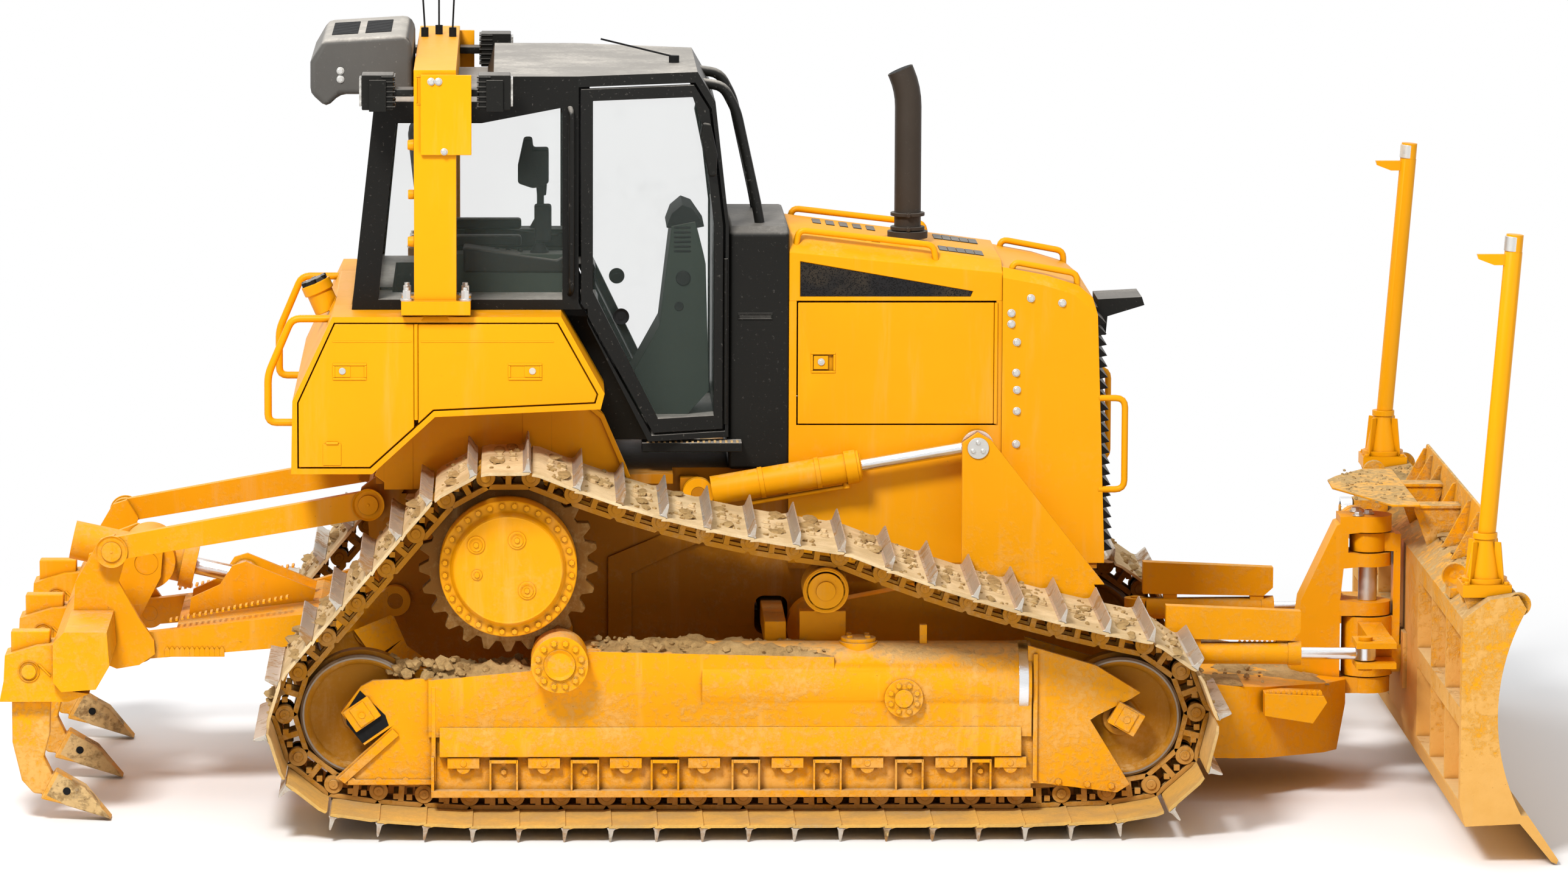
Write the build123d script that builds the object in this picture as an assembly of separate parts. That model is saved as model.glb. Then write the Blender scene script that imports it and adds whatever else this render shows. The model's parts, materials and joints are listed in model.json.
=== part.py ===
from build123d import *
import os
from math import atan2, cos, hypot, pi, sin, sqrt

# Medium crawler bulldozer with elevated sprockets, wide track shoes, a six-way blade on a C-frame
# and a three-shank parallelogram ripper.  Millimetres.  +X is forward, +Y left, +Z up.
# X is measured from the sprocket axle; the finished nodes are moved so that the machine's middle
# is at X = 0.

# ---------------------------------------------------------------- fits
SEAT = 0.3            # gap between pieces that rest on each other
RUNNING = 0.6         # radial gap of a rod in its gland and of a pin in its eye
GAP = 6.0             # gap round a door or between parts that move past each other

# ---------------------------------------------------------------- tracks
TRACK_GAUGE = 2160
SHOE_COUNT = 46
SHOE_WIDTH = 840
SHOE_THICKNESS = 13
GROUSER_HEIGHT = 58
LINK_OUTER = 57       # pin centre to the shoe's inner face
LINK_INNER = 50       # pin centre to the rail that runs on the rollers
RAIL_THICKNESS = 40
RAIL_GAP = 90         # clear width between the two rails of a chain
CHAIN_Y = TRACK_GAUGE / 2
PIN_HEIGHT = LINK_OUTER + SHOE_THICKNESS + GROUSER_HEIGHT

SPROCKET_Z = 1100
SPROCKET_PIN_R = 375
SPROCKET_TEETH = 25
IDLER_PIN_R = 315
REAR_IDLER_X, REAR_IDLER_Z = -610, 475
FRONT_IDLER_X, FRONT_IDLER_Z = 2540, 460
ROLLER_R = 100
ROLLER_COUNT = 8
FIRST_ROLLER_X, LAST_ROLLER_X = -198, 2086
CARRIER_R = 101
CARRIER_X, CARRIER_Z = 1312, 994
REAR_SAG, FRONT_SAG = 48, 35
WHEEL_HALF = 92       # half the width of idlers and rollers

# ---------------------------------------------------------------- hull and bodywork
HULL_HALF = 420
HULL_TOP = 1400
FRAME_TOP = 1000
HULL_BOTTOM = 545
HULL_REAR_X = -600
COWL_X = 925
HOOD_X = 1180
NOSE_X = 2079
NOSE_FRONT_X = 2517
HOOD_HALF = 470
HOOD_EAVES_Z = 2115
SHEET = 30            # wall of hood, nose and fender housings
NOSE_HALF = 480
NOSE_TOP_Z = 2255
DOOR_X, DOOR_END_X = 1218, 2045
DOOR_Z, DOOR_TOP_Z = 1593, 2107
DOOR_THICKNESS = 40
FENDER_HALF = 1050
FENDER_TOP = 2117
FENDER_SPLIT_X = -380
FENDER_SHEET = 14       # thickness of the fender doors
CAB_WALL = 55
CAB_HALF = 800
CAB_FRONT_HALF = 525
CAB_CORNER_X = 290
CAB_ROOF_Z = 3090
CAB_REAR_ROOF_Z = 2985
CAB_FLOOR_Z = 1545
TUB_HALF = 600
GLASS = 8
FENDER_FEET = ((-520, -400), (60, 180))      # straps that carry the fenders on the hull's deck
ROPS_Y = 1000
ROPS_X = -300
ROPS_TOP = 3141
ANTENNA_TOP = 3600
ROPS_HALF = 87         # half the fore-and-aft depth of its posts and beam

# ---------------------------------------------------------------- blade linkage
TRUNNION_X, TRUNNION_Z = 1300, 750
ARM_Y = 580           # middle of each C-frame arm
ARM_WIDTH = 110
LIFT_Y = 553
LIFT_REAR = (798, 1310)
LIFT_FRONT = (1971, 1512)
LIFT_BARREL_R = 62
LIFT_ROD_R = 27
LIFT_BARREL_LENGTH = 690
KINGPIN_X = 3690
KINGPIN_R = 40
ANGLE_Y = 620
ANGLE_REAR_X = 2740
ANGLE_EYE_X = KINGPIN_X - 74
ANGLE_Z = 634
ANGLE_BARREL_R = 47
ANGLE_ROD_R = 25
ANGLE_BARREL_LENGTH = 604
TILT_Z = 520          # height of the fore-and-aft axis that the blade tilts about
TILT_PIN_Z = 1022
TILT_REAR_Y = 130
TILT_EYE_Y = 900
TILT_BARREL_R = 62
TILT_ROD_R = 28
TILT_BARREL_LENGTH = 470
BLADE_HALF = 2040
BLADE_BACK_X = KINGPIN_X + 160
BLADE_TOP_Z = 1107
EDGE_TIP_X = BLADE_BACK_X + 404
MAST_Y = 1850

# ---------------------------------------------------------------- ripper linkage
UPPER_FRONT = (-588, 1266)
UPPER_REAR = (-1665, 1068)
LOWER_REAR = (-1555, 642)
LOWER_FRONT = (UPPER_FRONT[0] + LOWER_REAR[0] - UPPER_REAR[0], UPPER_FRONT[1] + LOWER_REAR[1] - UPPER_REAR[1])
RIPPER_TRUNNION = (-1537, 962)
RIPPER_EYE = (-1129, 873)
UPPER_LINK_Y = 555
LOWER_ARM_Y = 453
SHANK_YS = (-960, 0, 960)
TOOLBAR_HALF = 1100
POCKET_BACK_X = -2108


# ---------------------------------------------------------------- more named sizes
TRUNNION_R = 70
LINK_PIN_R = 32
LINK_WIDTH = 50
LIFT_PIN_R = 30
LIFT_EYE_WIDTH = 56
LIFT_FRONT_PIN_R = 26
LIFT_EYE_R = 68
LEVER_WIDTH = 40
DECK_HALF = 470
FENDER_INNER = 620
GRILLE_HALF = 410
HOOD_REAR, HOOD_FRONT = (2321, 2392), (2232, 2276)      # heights of its side edge and crown
CAB_SIDE_INNER = 470
GRILLE_Z = (1040, 2050)
LOUVRES = 22
STACK_X = 1700
STACK_R = 57
STACK_TOP = 3030
HINGE_R = 8
ENGINE_HINGE_X = DOOR_END_X + HINGE_R + SEAT
SEAT_DECK_Z = 1900
WINDSHIELD_Z = (2470, 2900)
REAR_WINDOW_Z = (2300, 2880)
CAB_HINGE = (912, 530)
CAB_DOOR_GAP = GAP + 4
LUG_R = 100
LUG_HEIGHTS = ((372, 440), (708, 764), (920, 976), (1069, 1137))
YOKE_Z = (446, 702)
UPPER_BOSS = 80
ANGLE_REAR_Y = 585
ANGLE_PIN_R = 22
ANGLE_EYE_R = 45
ANGLE_EYE_WIDTH = 50
TILT_PIN_R = 24
TILT_TRUNNION_R = 70
BLADE_BAYS = 8
EDGE_CLEAR = 5
MAST_TOP = 2551
MAST_FOOT_Z = 1085
MAST_STUB_R = 35
TOWER_Y, TOWER_WIDTH = 504, 38
CHEEK_Y = 200
RIPPER_TRUNNION_R = 50
RIPPER_PIN_R = 29
RIPPER_ROD_R = 36
RIPPER_COLLAR_R = 100
EAR_WIDTH = 24          # ears that hold the ripper rod's pin
EAR_Y = RIPPER_COLLAR_R + GAP + EAR_WIDTH / 2
RIPPER_CLEAR = 6
SHANK_HALF = 38
CAB_SIDE = [(-650, 2118), (-553, 2985), (-90, 2985), (-60, CAB_ROOF_Z), (790, CAB_ROOF_Z), (866, 2960),
            (COWL_X - SEAT, 2440), (COWL_X - SEAT, CAB_FLOOR_Z), (585, CAB_FLOOR_Z), (330, 2060), (330, 2118)]
DOOR_SIDE = [(302, 3035), (302, 2150), (345, 2060), (605, 1580), (900, 1580), (900, 2440), (840, 2930),
             (775, 3035)]
DOOR_WINDOW = [(352, 2985), (352, 2190), (625, 1640), (862, 1640), (862, 2440), (815, 2850), (770, 2985)]
SIDE_WINDOW = [(-540, 2160), (-465, 2895), (-110, 2895), (225, 2960), (225, 2160)]


# ================================================================ helpers
def outline(points, radius=0):
    """A face in the X-Z plane from (x, z) corners, all rounded by radius."""
    face = make_face(Polyline(*points, close=True))
    return fillet(face.vertices(), radius) if radius else face


def across(face, width, y=0):
    """Extrude an X-Z face across the machine: width thick, its middle at y."""
    return extrude(Plane.XZ.offset(-y) * face, width / 2, both=True)


def plate(points, width, y=0, radius=0):
    return across(outline(points, radius), width, y)


def both_sides(*pieces):
    """The pieces and their mirror images on the other side of the machine, as separate solids."""
    return Compound(children=[copy for piece in pieces for copy in (piece, mirror(piece, about=Plane.XZ))])


def on_side(piece, side):
    """A piece drawn on the left, or its mirror image for the right side."""
    return piece if side > 0 else mirror(piece, about=Plane.XZ)


def box(x, y, z):
    """A block between the ends given as (low, high) along each axis."""
    size = (x[1] - x[0], y[1] - y[0], z[1] - z[0])
    return Pos((x[0] + x[1]) / 2, (y[0] + y[1]) / 2, (z[0] + z[1]) / 2) * Box(*size)


def cross_pin(x, y, z, radius, length):
    """A cylinder whose axis lies across the machine."""
    return Pos(x, y, z) * Rot(90, 0, 0) * Cylinder(radius, length)


def bar(start, end, radius):
    """A round bar between two points."""
    start, end = Vector(*start), Vector(*end)
    along = end - start
    return Plane(start, z_dir=along) * Cylinder(radius, along.length,
                                                align=(Align.CENTER, Align.CENTER, Align.MIN))


def tube(points, radius, bend, sides=8):
    """A bent rail through the points: a many-sided bar that cuts every corner across at bend."""
    places = [Vector(*point) for point in points]
    path = [places[0]]
    for before, here, after in zip(places, places[1:], places[2:]):
        path.append(here + (before - here).normalized() * bend)
        path.append(here + (after - here).normalized() * bend)
    path.append(places[-1])
    section = Plane(path[0], z_dir=path[1] - path[0]) * RegularPolygon(radius, sides)
    return sweep(section, Polyline(*path), transition=Transition.RIGHT)


# ================================================================ track geometry
def rail_seat(pin_radius, pitch):
    """Radius of a wheel whose chain pins lie at pin_radius, with straight links pitch long."""
    return sqrt(pin_radius ** 2 - (pitch / 2) ** 2) - LINK_INNER - SEAT


def tangent(a, b):
    """Ends of the straight run from wheel a to wheel b, both on its right; a wheel is (x, z, radius)."""
    (ax, az, ar), (bx, bz, br) = a, b
    span = hypot(bx - ax, bz - az)
    ux, uz = (bx - ax) / span, (bz - az) / span
    along = (ar - br) / span
    aside = sqrt(1 - along ** 2)
    nx, nz = along * ux - aside * uz, along * uz + aside * ux
    return (ax + ar * nx, az + ar * nz), (bx + br * nx, bz + br * nz)


def pin_line():
    """The closed line through the chain's pins, over the sprocket and round the idlers."""
    roller_r = ROLLER_R + LINK_INNER + SEAT
    carrier_r = CARRIER_R + LINK_INNER + SEAT
    wheels = [
        (0, SPROCKET_Z, SPROCKET_PIN_R),
        (CARRIER_X, CARRIER_Z, carrier_r),
        (FRONT_IDLER_X, FRONT_IDLER_Z, IDLER_PIN_R),
        (LAST_ROLLER_X, PIN_HEIGHT + roller_r, roller_r),
        (FIRST_ROLLER_X, PIN_HEIGHT + roller_r, roller_r),
        (REAR_IDLER_X, REAR_IDLER_Z, IDLER_PIN_R),
    ]
    sags = [REAR_SAG, FRONT_SAG, 0, 0, 0, 0]
    count = len(wheels)
    runs = [tangent(wheels[i], wheels[(i + 1) % count]) for i in range(count)]
    edges = []
    for i, ((sx, sz), (ex, ez)) in enumerate(runs):
        if sags[i]:
            edges.append(ThreePointArc((sx, sz), ((sx + ex) / 2, (sz + ez) / 2 - sags[i]), (ex, ez)))
        else:
            edges.append(Line((sx, sz), (ex, ez)))
        x, z, r = wheels[(i + 1) % count]
        nx, nz = runs[(i + 1) % count][0]
        start = atan2(ez - z, ex - x)
        turn = (start - atan2(nz - z, nx - x)) % (2 * pi)
        middle = (x + r * cos(start - turn / 2), z + r * sin(start - turn / 2))
        edges.append(ThreePointArc((ex, ez), middle, (nx, nz)))
    return Wire(edges)


PIN_LINE = pin_line()
PITCH = PIN_LINE.length / SHOE_COUNT
PINS = [PIN_LINE @ (i / SHOE_COUNT) for i in range(SHOE_COUNT)]
IDLER_R = rail_seat(IDLER_PIN_R, PITCH)
ROLLER_Z = PIN_HEIGHT + LINK_INNER + SEAT + ROLLER_R


def link_axes(i):
    """Unit vectors along link i and outwards from it."""
    along = (PINS[(i + 1) % SHOE_COUNT] - PINS[i]).normalized()
    return along, Vector(-along.Y, along.X)


def corner(i, height):
    """Where the faces of two neighbouring links, height outside the pins, meet at pin i."""
    outward = (link_axes(i - 1)[1] + link_axes(i)[1]).normalized()
    return PINS[i] + outward * (height / outward.dot(link_axes(i)[1]))


def loop(height):
    return make_face(Polyline(*[corner(i, height) for i in range(SHOE_COUNT)], close=True))


def shoe_outline():
    """The track's outer edge: a flat shoe on each link with one grouser bar at its leading end."""
    shoe = LINK_OUTER + SHOE_THICKNESS
    tip = shoe + GROUSER_HEIGHT
    profile = [(-34, shoe), (-15, tip), (-7, tip), (-3, shoe)]   # from the link's leading pin
    points = []
    for i in range(SHOE_COUNT):
        along, outward = link_axes(i)
        points.append(corner(i, shoe))
        lead = PINS[(i + 1) % SHOE_COUNT]
        points += [lead + along * x + outward * z for x, z in profile]
    return make_face(Polyline(*points, close=True))


def track(side):
    shoes = across(shoe_outline() - loop(LINK_OUTER), SHOE_WIDTH, side * CHAIN_Y)
    rail = loop(LINK_OUTER) - loop(-LINK_INNER)
    offset_y = (RAIL_GAP + RAIL_THICKNESS) / 2
    for inner in (-1, 1):
        shoes += across(rail, RAIL_THICKNESS, side * CHAIN_Y + inner * offset_y)
    return shoes


# ================================================================ undercarriage
def sprockets():
    """Toothed rings with their webs; the tooth spaces line up with the chain's pins."""
    top = max(PINS, key=lambda pin: pin.Y)
    space = atan2(top.Y - SPROCKET_Z, top.X)
    step = 2 * pi / SPROCKET_TEETH
    tip_r, root_r = SPROCKET_PIN_R - 4, SPROCKET_PIN_R - 46
    tooth = [(0.12, root_r), (0.38, tip_r), (0.62, tip_r), (0.88, root_r)]
    points = []
    for i in range(SPROCKET_TEETH):
        for part, r in tooth:
            angle = space + step * (i + part)
            points.append((r * cos(angle), SPROCKET_Z + r * sin(angle)))
    return both_sides(plate(points, RAIL_GAP - 2 * 10, CHAIN_Y))


FINAL_DRIVE_R = 284
FINAL_DRIVE_FACE_Y = 1300
FINAL_HOUSING_R = 225


def final_drives():
    """Outer planetary covers with their bolt rings, and the inner housings back to the hull."""
    ring = CHAIN_Y + RAIL_GAP / 2 - 10
    rows = [(0, FINAL_DRIVE_FACE_Y - 20), (90, FINAL_DRIVE_FACE_Y - 20), (105, FINAL_DRIVE_FACE_Y),
            (225, FINAL_DRIVE_FACE_Y), (240, FINAL_DRIVE_FACE_Y - 35), (FINAL_DRIVE_R,
                                                                        FINAL_DRIVE_FACE_Y - 35),
            (FINAL_DRIVE_R, ring), (0, ring)]
    cover = Pos(0, 0, SPROCKET_Z) * revolve(make_face(Polyline(*rows, close=True)), axis=Axis.Y)
    inner_end = CHAIN_Y - RAIL_GAP / 2 + 10
    inner = cross_pin(0, (HULL_HALF + inner_end) / 2, SPROCKET_Z, FINAL_HOUSING_R, inner_end - HULL_HALF)
    return both_sides(cover, inner)


def wheel(x, z, y, radius, half_width, flange, hub_half):
    """A running wheel with a central flange between the rails and a hub out to its bearings."""
    rim = RAIL_GAP / 2 - 8
    rows = [(0, -hub_half), (70, -hub_half), (70, -half_width), (radius, -half_width), (radius, -rim),
            (radius + flange, -rim)]
    rows += [(r, -w) for r, w in reversed(rows)]
    body = revolve(make_face(Polyline(*rows, close=True)), axis=Axis.Y)
    return Pos(x, y, z) * body


YOKE_IN = 104         # chain line to the inner face of the yoke plates
YOKE_THICKNESS = 26


def idlers():
    return both_sides(*[wheel(x, z, CHAIN_Y, IDLER_R, WHEEL_HALF, 18, YOKE_IN)
                        for x, z in ((REAR_IDLER_X, REAR_IDLER_Z), (FRONT_IDLER_X, FRONT_IDLER_Z))])


def track_rollers():
    """Lower rollers in an even row and the carrier roller that holds up the track's top run."""
    step = (LAST_ROLLER_X - FIRST_ROLLER_X) / (ROLLER_COUNT - 1)
    places = [(FIRST_ROLLER_X + i * step, ROLLER_Z, ROLLER_R, YOKE_IN) for i in range(ROLLER_COUNT)]
    places.append((CARRIER_X, CARRIER_Z, CARRIER_R, WHEEL_HALF))
    rail = loop(-LINK_INNER).faces()[0].outer_wire()
    rollers = []
    for x, z, radius, half in places:
        radius = min(radius, rail.distance_to(Vertex(x, z, 0)) - SEAT)
        rollers.append(cross_pin(x, CHAIN_Y, z, radius, 2 * half))
    return both_sides(*rollers)


PIVOT_X, PIVOT_Z, PIVOT_R = 211, 713, 118
PIVOT_SHAFT_R = 60
FRAME_BODY_HALF = 150
TUBE_R, TUBE_Z = 168, 598


def track_frame(side):
    """Roller frame: body and tube above the rollers, guard rails beside them, yokes at both idlers."""
    low = ROLLER_Z + ROLLER_R + 12
    front_end = 2165
    body = plate([(-330, low), (-330, 628), (-264, 634), (87, 667), (338, 748), (1346, 724), (1346, 560),
                  (front_end, 520), (front_end, low)], 2 * FRAME_BODY_HALF)
    body += bar((800, 0, TUBE_Z), (front_end, 0, TUBE_Z), TUBE_R)
    guard_y = YOKE_IN + SEAT + YOKE_THICKNESS / 2
    for edge in (-1, 1):
        y = edge * guard_y
        body += plate([(-316, 157), (-316, 470), (front_end, 470), (front_end, 157)], YOKE_THICKNESS, y)
        body += plate([(-609, 600), (-691, 490), (-595, 355), (-475, 437), (-715, 216), (-667, 187),
                       (-300, 187), (-300, 634), (-560, 625)], YOKE_THICKNESS, y)
        body += plate([(2150, 767), (2150, 189), (2217, 189), (2524, 150), (2577, 184), (2410, 455),
                       (2441, 476), (2577, 543), (2618, 569), (2431, 684)], YOKE_THICKNESS, y)
    body += box((2100, 2230), (-guard_y, guard_y), (430, 700))
    body += cross_pin(PIVOT_X, 165, PIVOT_Z, PIVOT_R, 210)
    shaft_end = CHAIN_Y - HULL_HALF - SEAT
    body += cross_pin(PIVOT_X, 50 - shaft_end / 2, PIVOT_Z, PIVOT_SHAFT_R, shaft_end + 100)
    post = box((CARRIER_X - 100, CARRIER_X + 92), (-190, -120), (700, 873))
    post += box((CARRIER_X - 40, CARRIER_X + 40), (-150, -WHEEL_HALF - SEAT), (873, CARRIER_Z))
    post += cross_pin(CARRIER_X, -(150 + WHEEL_HALF + SEAT) / 2, CARRIER_Z, 55, 150 - WHEEL_HALF - SEAT)
    return on_side(Pos(0, CHAIN_Y, 0) * (body + post), side)


EQUALIZER_X = 1110
EQUALIZER_Z = (733, 832)
EQUALIZER_HALF = 972


def equalizer_bar():
    """Cross bar under the hull's middle that rests on both track frames."""
    return box((EQUALIZER_X - 45, EQUALIZER_X + 45), (-EQUALIZER_HALF, EQUALIZER_HALF), EQUALIZER_Z)


# ================================================================ hull
def main_frame():
    """Transmission case and frame rails in one hull, with every pin that the linkages turn on."""
    hull = plate([(HULL_REAR_X + 40, HULL_TOP), (HULL_REAR_X, 1250), (-577, 1005), (-500, 800), (-430, 640),
                  (-300, HULL_BOTTOM), (2250, HULL_BOTTOM), (2470, 700), (2470, FRAME_TOP), (HOOD_X,
                                                                                             FRAME_TOP),
                  (HOOD_X, HULL_TOP)], 2 * HULL_HALF)
    low, high = EQUALIZER_Z
    arch = outline([(EQUALIZER_X - 70, low - 45), (EQUALIZER_X - 70, high + 20),
                    (EQUALIZER_X + 70, high + 20),
                    (EQUALIZER_X + 70, low - 45)], 40)
    hull -= across(arch, 2 * HULL_HALF + 10)
    hull += box((EQUALIZER_X - 75, EQUALIZER_X + 75), (-60, 60), (low - 60, low - SEAT))
    hull += box((HOOD_X, NOSE_FRONT_X - 30), (-DECK_HALF, DECK_HALF), (FRAME_TOP - 25, FRAME_TOP))
    hull += box((HULL_REAR_X + 45, LIFT_REAR[0] - 108), (SEAT - FENDER_INNER, FENDER_INNER - SEAT),
                (HULL_TOP - 40, HULL_TOP))
    hull += cross_pin(TRUNNION_X, 0, TRUNNION_Z, TRUNNION_R, 2 * ARM_Y + ARM_WIDTH)

    ear_end = UPPER_LINK_Y - LINK_WIDTH / 2 - GAP
    x, z = UPPER_FRONT
    ear = plate([(x - 62, z - 50), (x - 30, z + 62), (x + 60, HULL_TOP), (x + 200, HULL_TOP),
                 (x + 60, z - 80)],
                40, ear_end - 20)
    ear += cross_pin(x, ear_end + (LINK_WIDTH + GAP) / 2, z, LINK_PIN_R, LINK_WIDTH + GAP)
    ear += box((x + 30, x + 160), (HULL_HALF - 10, ear_end), (z - 60, z + 40))
    x, z = LOWER_FRONT
    ear += cross_pin(x, (HULL_HALF - 20 + LOWER_ARM_Y + LINK_WIDTH / 2) / 2, z, LINK_PIN_R,
                     LOWER_ARM_Y + LINK_WIDTH / 2 - HULL_HALF + 20)
    x, z = LIFT_REAR
    lug_end = LIFT_Y - LIFT_EYE_WIDTH / 2 - GAP
    ear += box((x - 75, x), (HULL_HALF - 10, lug_end), (z - 60, z + 60))
    ear += cross_pin(x, (HULL_HALF - 10 + lug_end) / 2, z, 42, lug_end - HULL_HALF + 10)
    ear += cross_pin(x, lug_end + (LIFT_EYE_WIDTH + GAP) / 2, z, LIFT_PIN_R, LIFT_EYE_WIDTH + GAP)
    return hull + ear + mirror(ear, about=Plane.XZ)


def engine_block():
    return box((1290, 2020), (-300, 300), (FRAME_TOP, 1950))


# ================================================================ hood and nose
def hood_section(x, eaves, side, crown, inset):
    """The hood's cross-section at x: upright sides, a chamfer and a flat top."""
    half = HOOD_HALF - inset
    points = [(-half, eaves), (-half, side - inset), (-half + 90, crown - inset), (half - 90, crown - inset),
              (half, side - inset), (half, eaves)]
    plane = Plane(origin=(x, 0, 0), x_dir=(0, 1, 0), z_dir=(1, 0, 0))
    return plane * make_face(Polyline(*points, close=True))


def hood_block(inset, reach):
    """The hood as a solid, inset behind its outside and run out by reach at both ends and below."""
    rear = hood_section(HOOD_X - reach, HOOD_EAVES_Z - reach, *HOOD_REAR, inset)
    front = hood_section(NOSE_X - SEAT + reach, HOOD_EAVES_Z - reach, *HOOD_FRONT, inset)
    return loft([rear, front])


def hood():
    """Engine hood: a thin shell that falls towards the nose, with a sunk panel in each side."""
    shell = hood_block(0, 0) - hood_block(SHEET, 1)
    panel = outline([(1226, 2132), (1226, 2282), (1955, 2155), (1945, 2132)])
    for side in (-1, 1):
        shell -= across(panel, 12, side * HOOD_HALF)
    return shell


def engine_side(side):
    """Fixed side plate round the engine door: sill, door posts and the hinge post."""
    y = HOOD_HALF - DOOR_THICKNESS / 2
    top = HOOD_EAVES_Z - SEAT
    wall = plate([(HOOD_X, FRAME_TOP), (HOOD_X, top), (NOSE_X - SEAT, top), (NOSE_X - SEAT, FRAME_TOP)],
                 DOOR_THICKNESS, y)
    wall -= plate([(DOOR_X - GAP, DOOR_Z - GAP), (DOOR_X - GAP, top + 1), (ENGINE_HINGE_X, top + 1),
                   (ENGINE_HINGE_X, DOOR_Z - GAP)], DOOR_THICKNESS + 2, y)
    wall += Pos(ENGINE_HINGE_X, HOOD_HALF, (DOOR_Z + DOOR_TOP_Z) / 2) * Cylinder(HINGE_R, DOOR_TOP_Z - DOOR_Z)
    return on_side(wall, side)


def engine_door(side):
    """Side door: a flat panel whose front edge runs along its hinge post, with a sunk latch."""
    panel = plate([(DOOR_X, DOOR_Z), (DOOR_X, DOOR_TOP_Z), (DOOR_END_X, DOOR_TOP_Z), (DOOR_END_X, DOOR_Z)],
                  DOOR_THICKNESS, HOOD_HALF - DOOR_THICKNESS / 2)
    latch = box((1278, 1371), (HOOD_HALF - 12, HOOD_HALF + 20), (1814, 1891))
    return on_side(panel - latch, side)


def nose_block():
    """The radiator guard's outside as a solid, its top edges chamfered."""
    profile = [(NOSE_X, FRAME_TOP), (NOSE_X, NOSE_TOP_Z), (2259, 2221), (2400, 2178), (2462, 2125),
               (2481, 2056), (NOSE_FRONT_X, 1050), (NOSE_FRONT_X, FRAME_TOP)]
    shell = plate(profile, 2 * NOSE_HALF)
    top_edges = [e for e in shell.edges() if e.center().Z > 2100 and abs(abs(e.center().Y) - NOSE_HALF) < 1
                 and e.center().X > NOSE_X + 5]
    return chamfer(top_edges, 40)


def nose_housing():
    """Radiator guard: side walls, a sloping top and an open front for the grille."""
    shell = nose_block()
    shell -= plate([(NOSE_X - 1, FRAME_TOP - 1), (NOSE_X - 1, NOSE_TOP_Z - 60), (2240, 2160), (2390, 2100),
                    (2392, FRAME_TOP - 1)], 2 * (NOSE_HALF - 50))
    low, high = GRILLE_Z
    return shell - box((2380, 2600), (-GRILLE_HALF - SEAT, GRILLE_HALF + SEAT), (low - SEAT, high + SEAT))


def grille():
    """Black louvred screen with its top visor."""
    low, high = GRILLE_Z
    step = (high - low) / LOUVRES
    lean = (2481 - NOSE_FRONT_X) / (2056 - 1050)
    profile = [(2400, low), (2400, high)]
    for i in reversed(range(LOUVRES)):
        z = low + i * step
        front = NOSE_FRONT_X + lean * (z - 1050)
        profile += [(front + 2, z + step - 1), (front + 40, z + 8), (front + 2, z)]
    screen = plate(profile, 2 * GRILLE_HALF)
    visor = [(2440, 1990), (2440, 2045), (2505, 2050), (2505, 2083), (2693, 2093), (2704, 2058), (2547, 2010),
             (2540, 1930), (2500, 1930)]
    return screen + plate(visor, 300)


def exhaust_stack():
    """Upright pipe on a collar, its top curved to throw the gas clear."""
    low = 2290
    pipe = tube([(STACK_X, 0, low), (STACK_X, 0, STACK_TOP - 95), (STACK_X - 42, 0, STACK_TOP)], STACK_R, 55,
                20)
    collar = Pos(STACK_X, 0, low + 75) * Cylinder(STACK_R + 12, 150)
    return pipe + collar - hood_block(-SEAT, 0)


def handrails():
    """Rails on the hood and nose, grab handles at the grille and rails round the tank's back."""
    rail = tube([(1207, 420, 2330), (1222, 420, 2410), (1790, 420, 2345), (1800, 420, 2270)], 14, 30)
    front = tube([(2114, 420, 2210), (2126, 420, 2275), (2396, 420, 2225), (2396, 420, 2120)], 14, 30)
    grab = tube([(2490, 470, 1702), (2600, 470, 1702), (2600, 470, 1313), (2490, 470, 1313)], 14, 40)
    rear = tube([(-860, 760, 1640), (-1000, 760, 1640), (-1000, 760, 1840), (-900, 760, 2075),
                 (-720, 760, 2075)],
                16, 35)
    return both_sides(rail - hood_block(0, 0), front - nose_block(), grab - nose_block(),
                      rear - fender_block())


# ================================================================ cab
def inset_face(face, amount):
    return offset(face, amount=-amount, kind=Kind.INTERSECTION) if amount else face


def cab_prism(inset):
    """The cab's outside, or the surface inset behind it: straight rear half, front half drawn in."""
    taper = (CAB_HALF - CAB_FRONT_HALF) / (COWL_X - CAB_CORNER_X)
    beyond = COWL_X + 100
    front_y = CAB_FRONT_HALF - 100 * taper
    plan = make_face(Polyline((-750, -CAB_HALF), (CAB_CORNER_X, -CAB_HALF), (beyond, -front_y),
                              (beyond, front_y),
                              (CAB_CORNER_X, CAB_HALF), (-750, CAB_HALF), close=True))
    upright = Pos(0, 0, 1400) * extrude(inset_face(plan, inset), 1800)
    return upright & across(inset_face(outline(CAB_SIDE), inset), 2 * CAB_HALF + 10)


def opening(points, inset=0):
    """A cut through both side walls of the cab, clear of its front and rear walls."""
    face, reach = inset_face(outline(points), inset), CAB_HALF + 10 - CAB_SIDE_INNER
    middle = CAB_SIDE_INNER + reach / 2
    return across(face, reach, middle) + across(face, reach, -middle)


def cab_tub(inset):
    """The footwell and seat box between the fenders, open at the top into the cab."""
    return box((-540 + inset, 620), (inset - TUB_HALF, TUB_HALF - inset),
               (CAB_FLOOR_Z + inset, FENDER_TOP + inset + 1))


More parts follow.
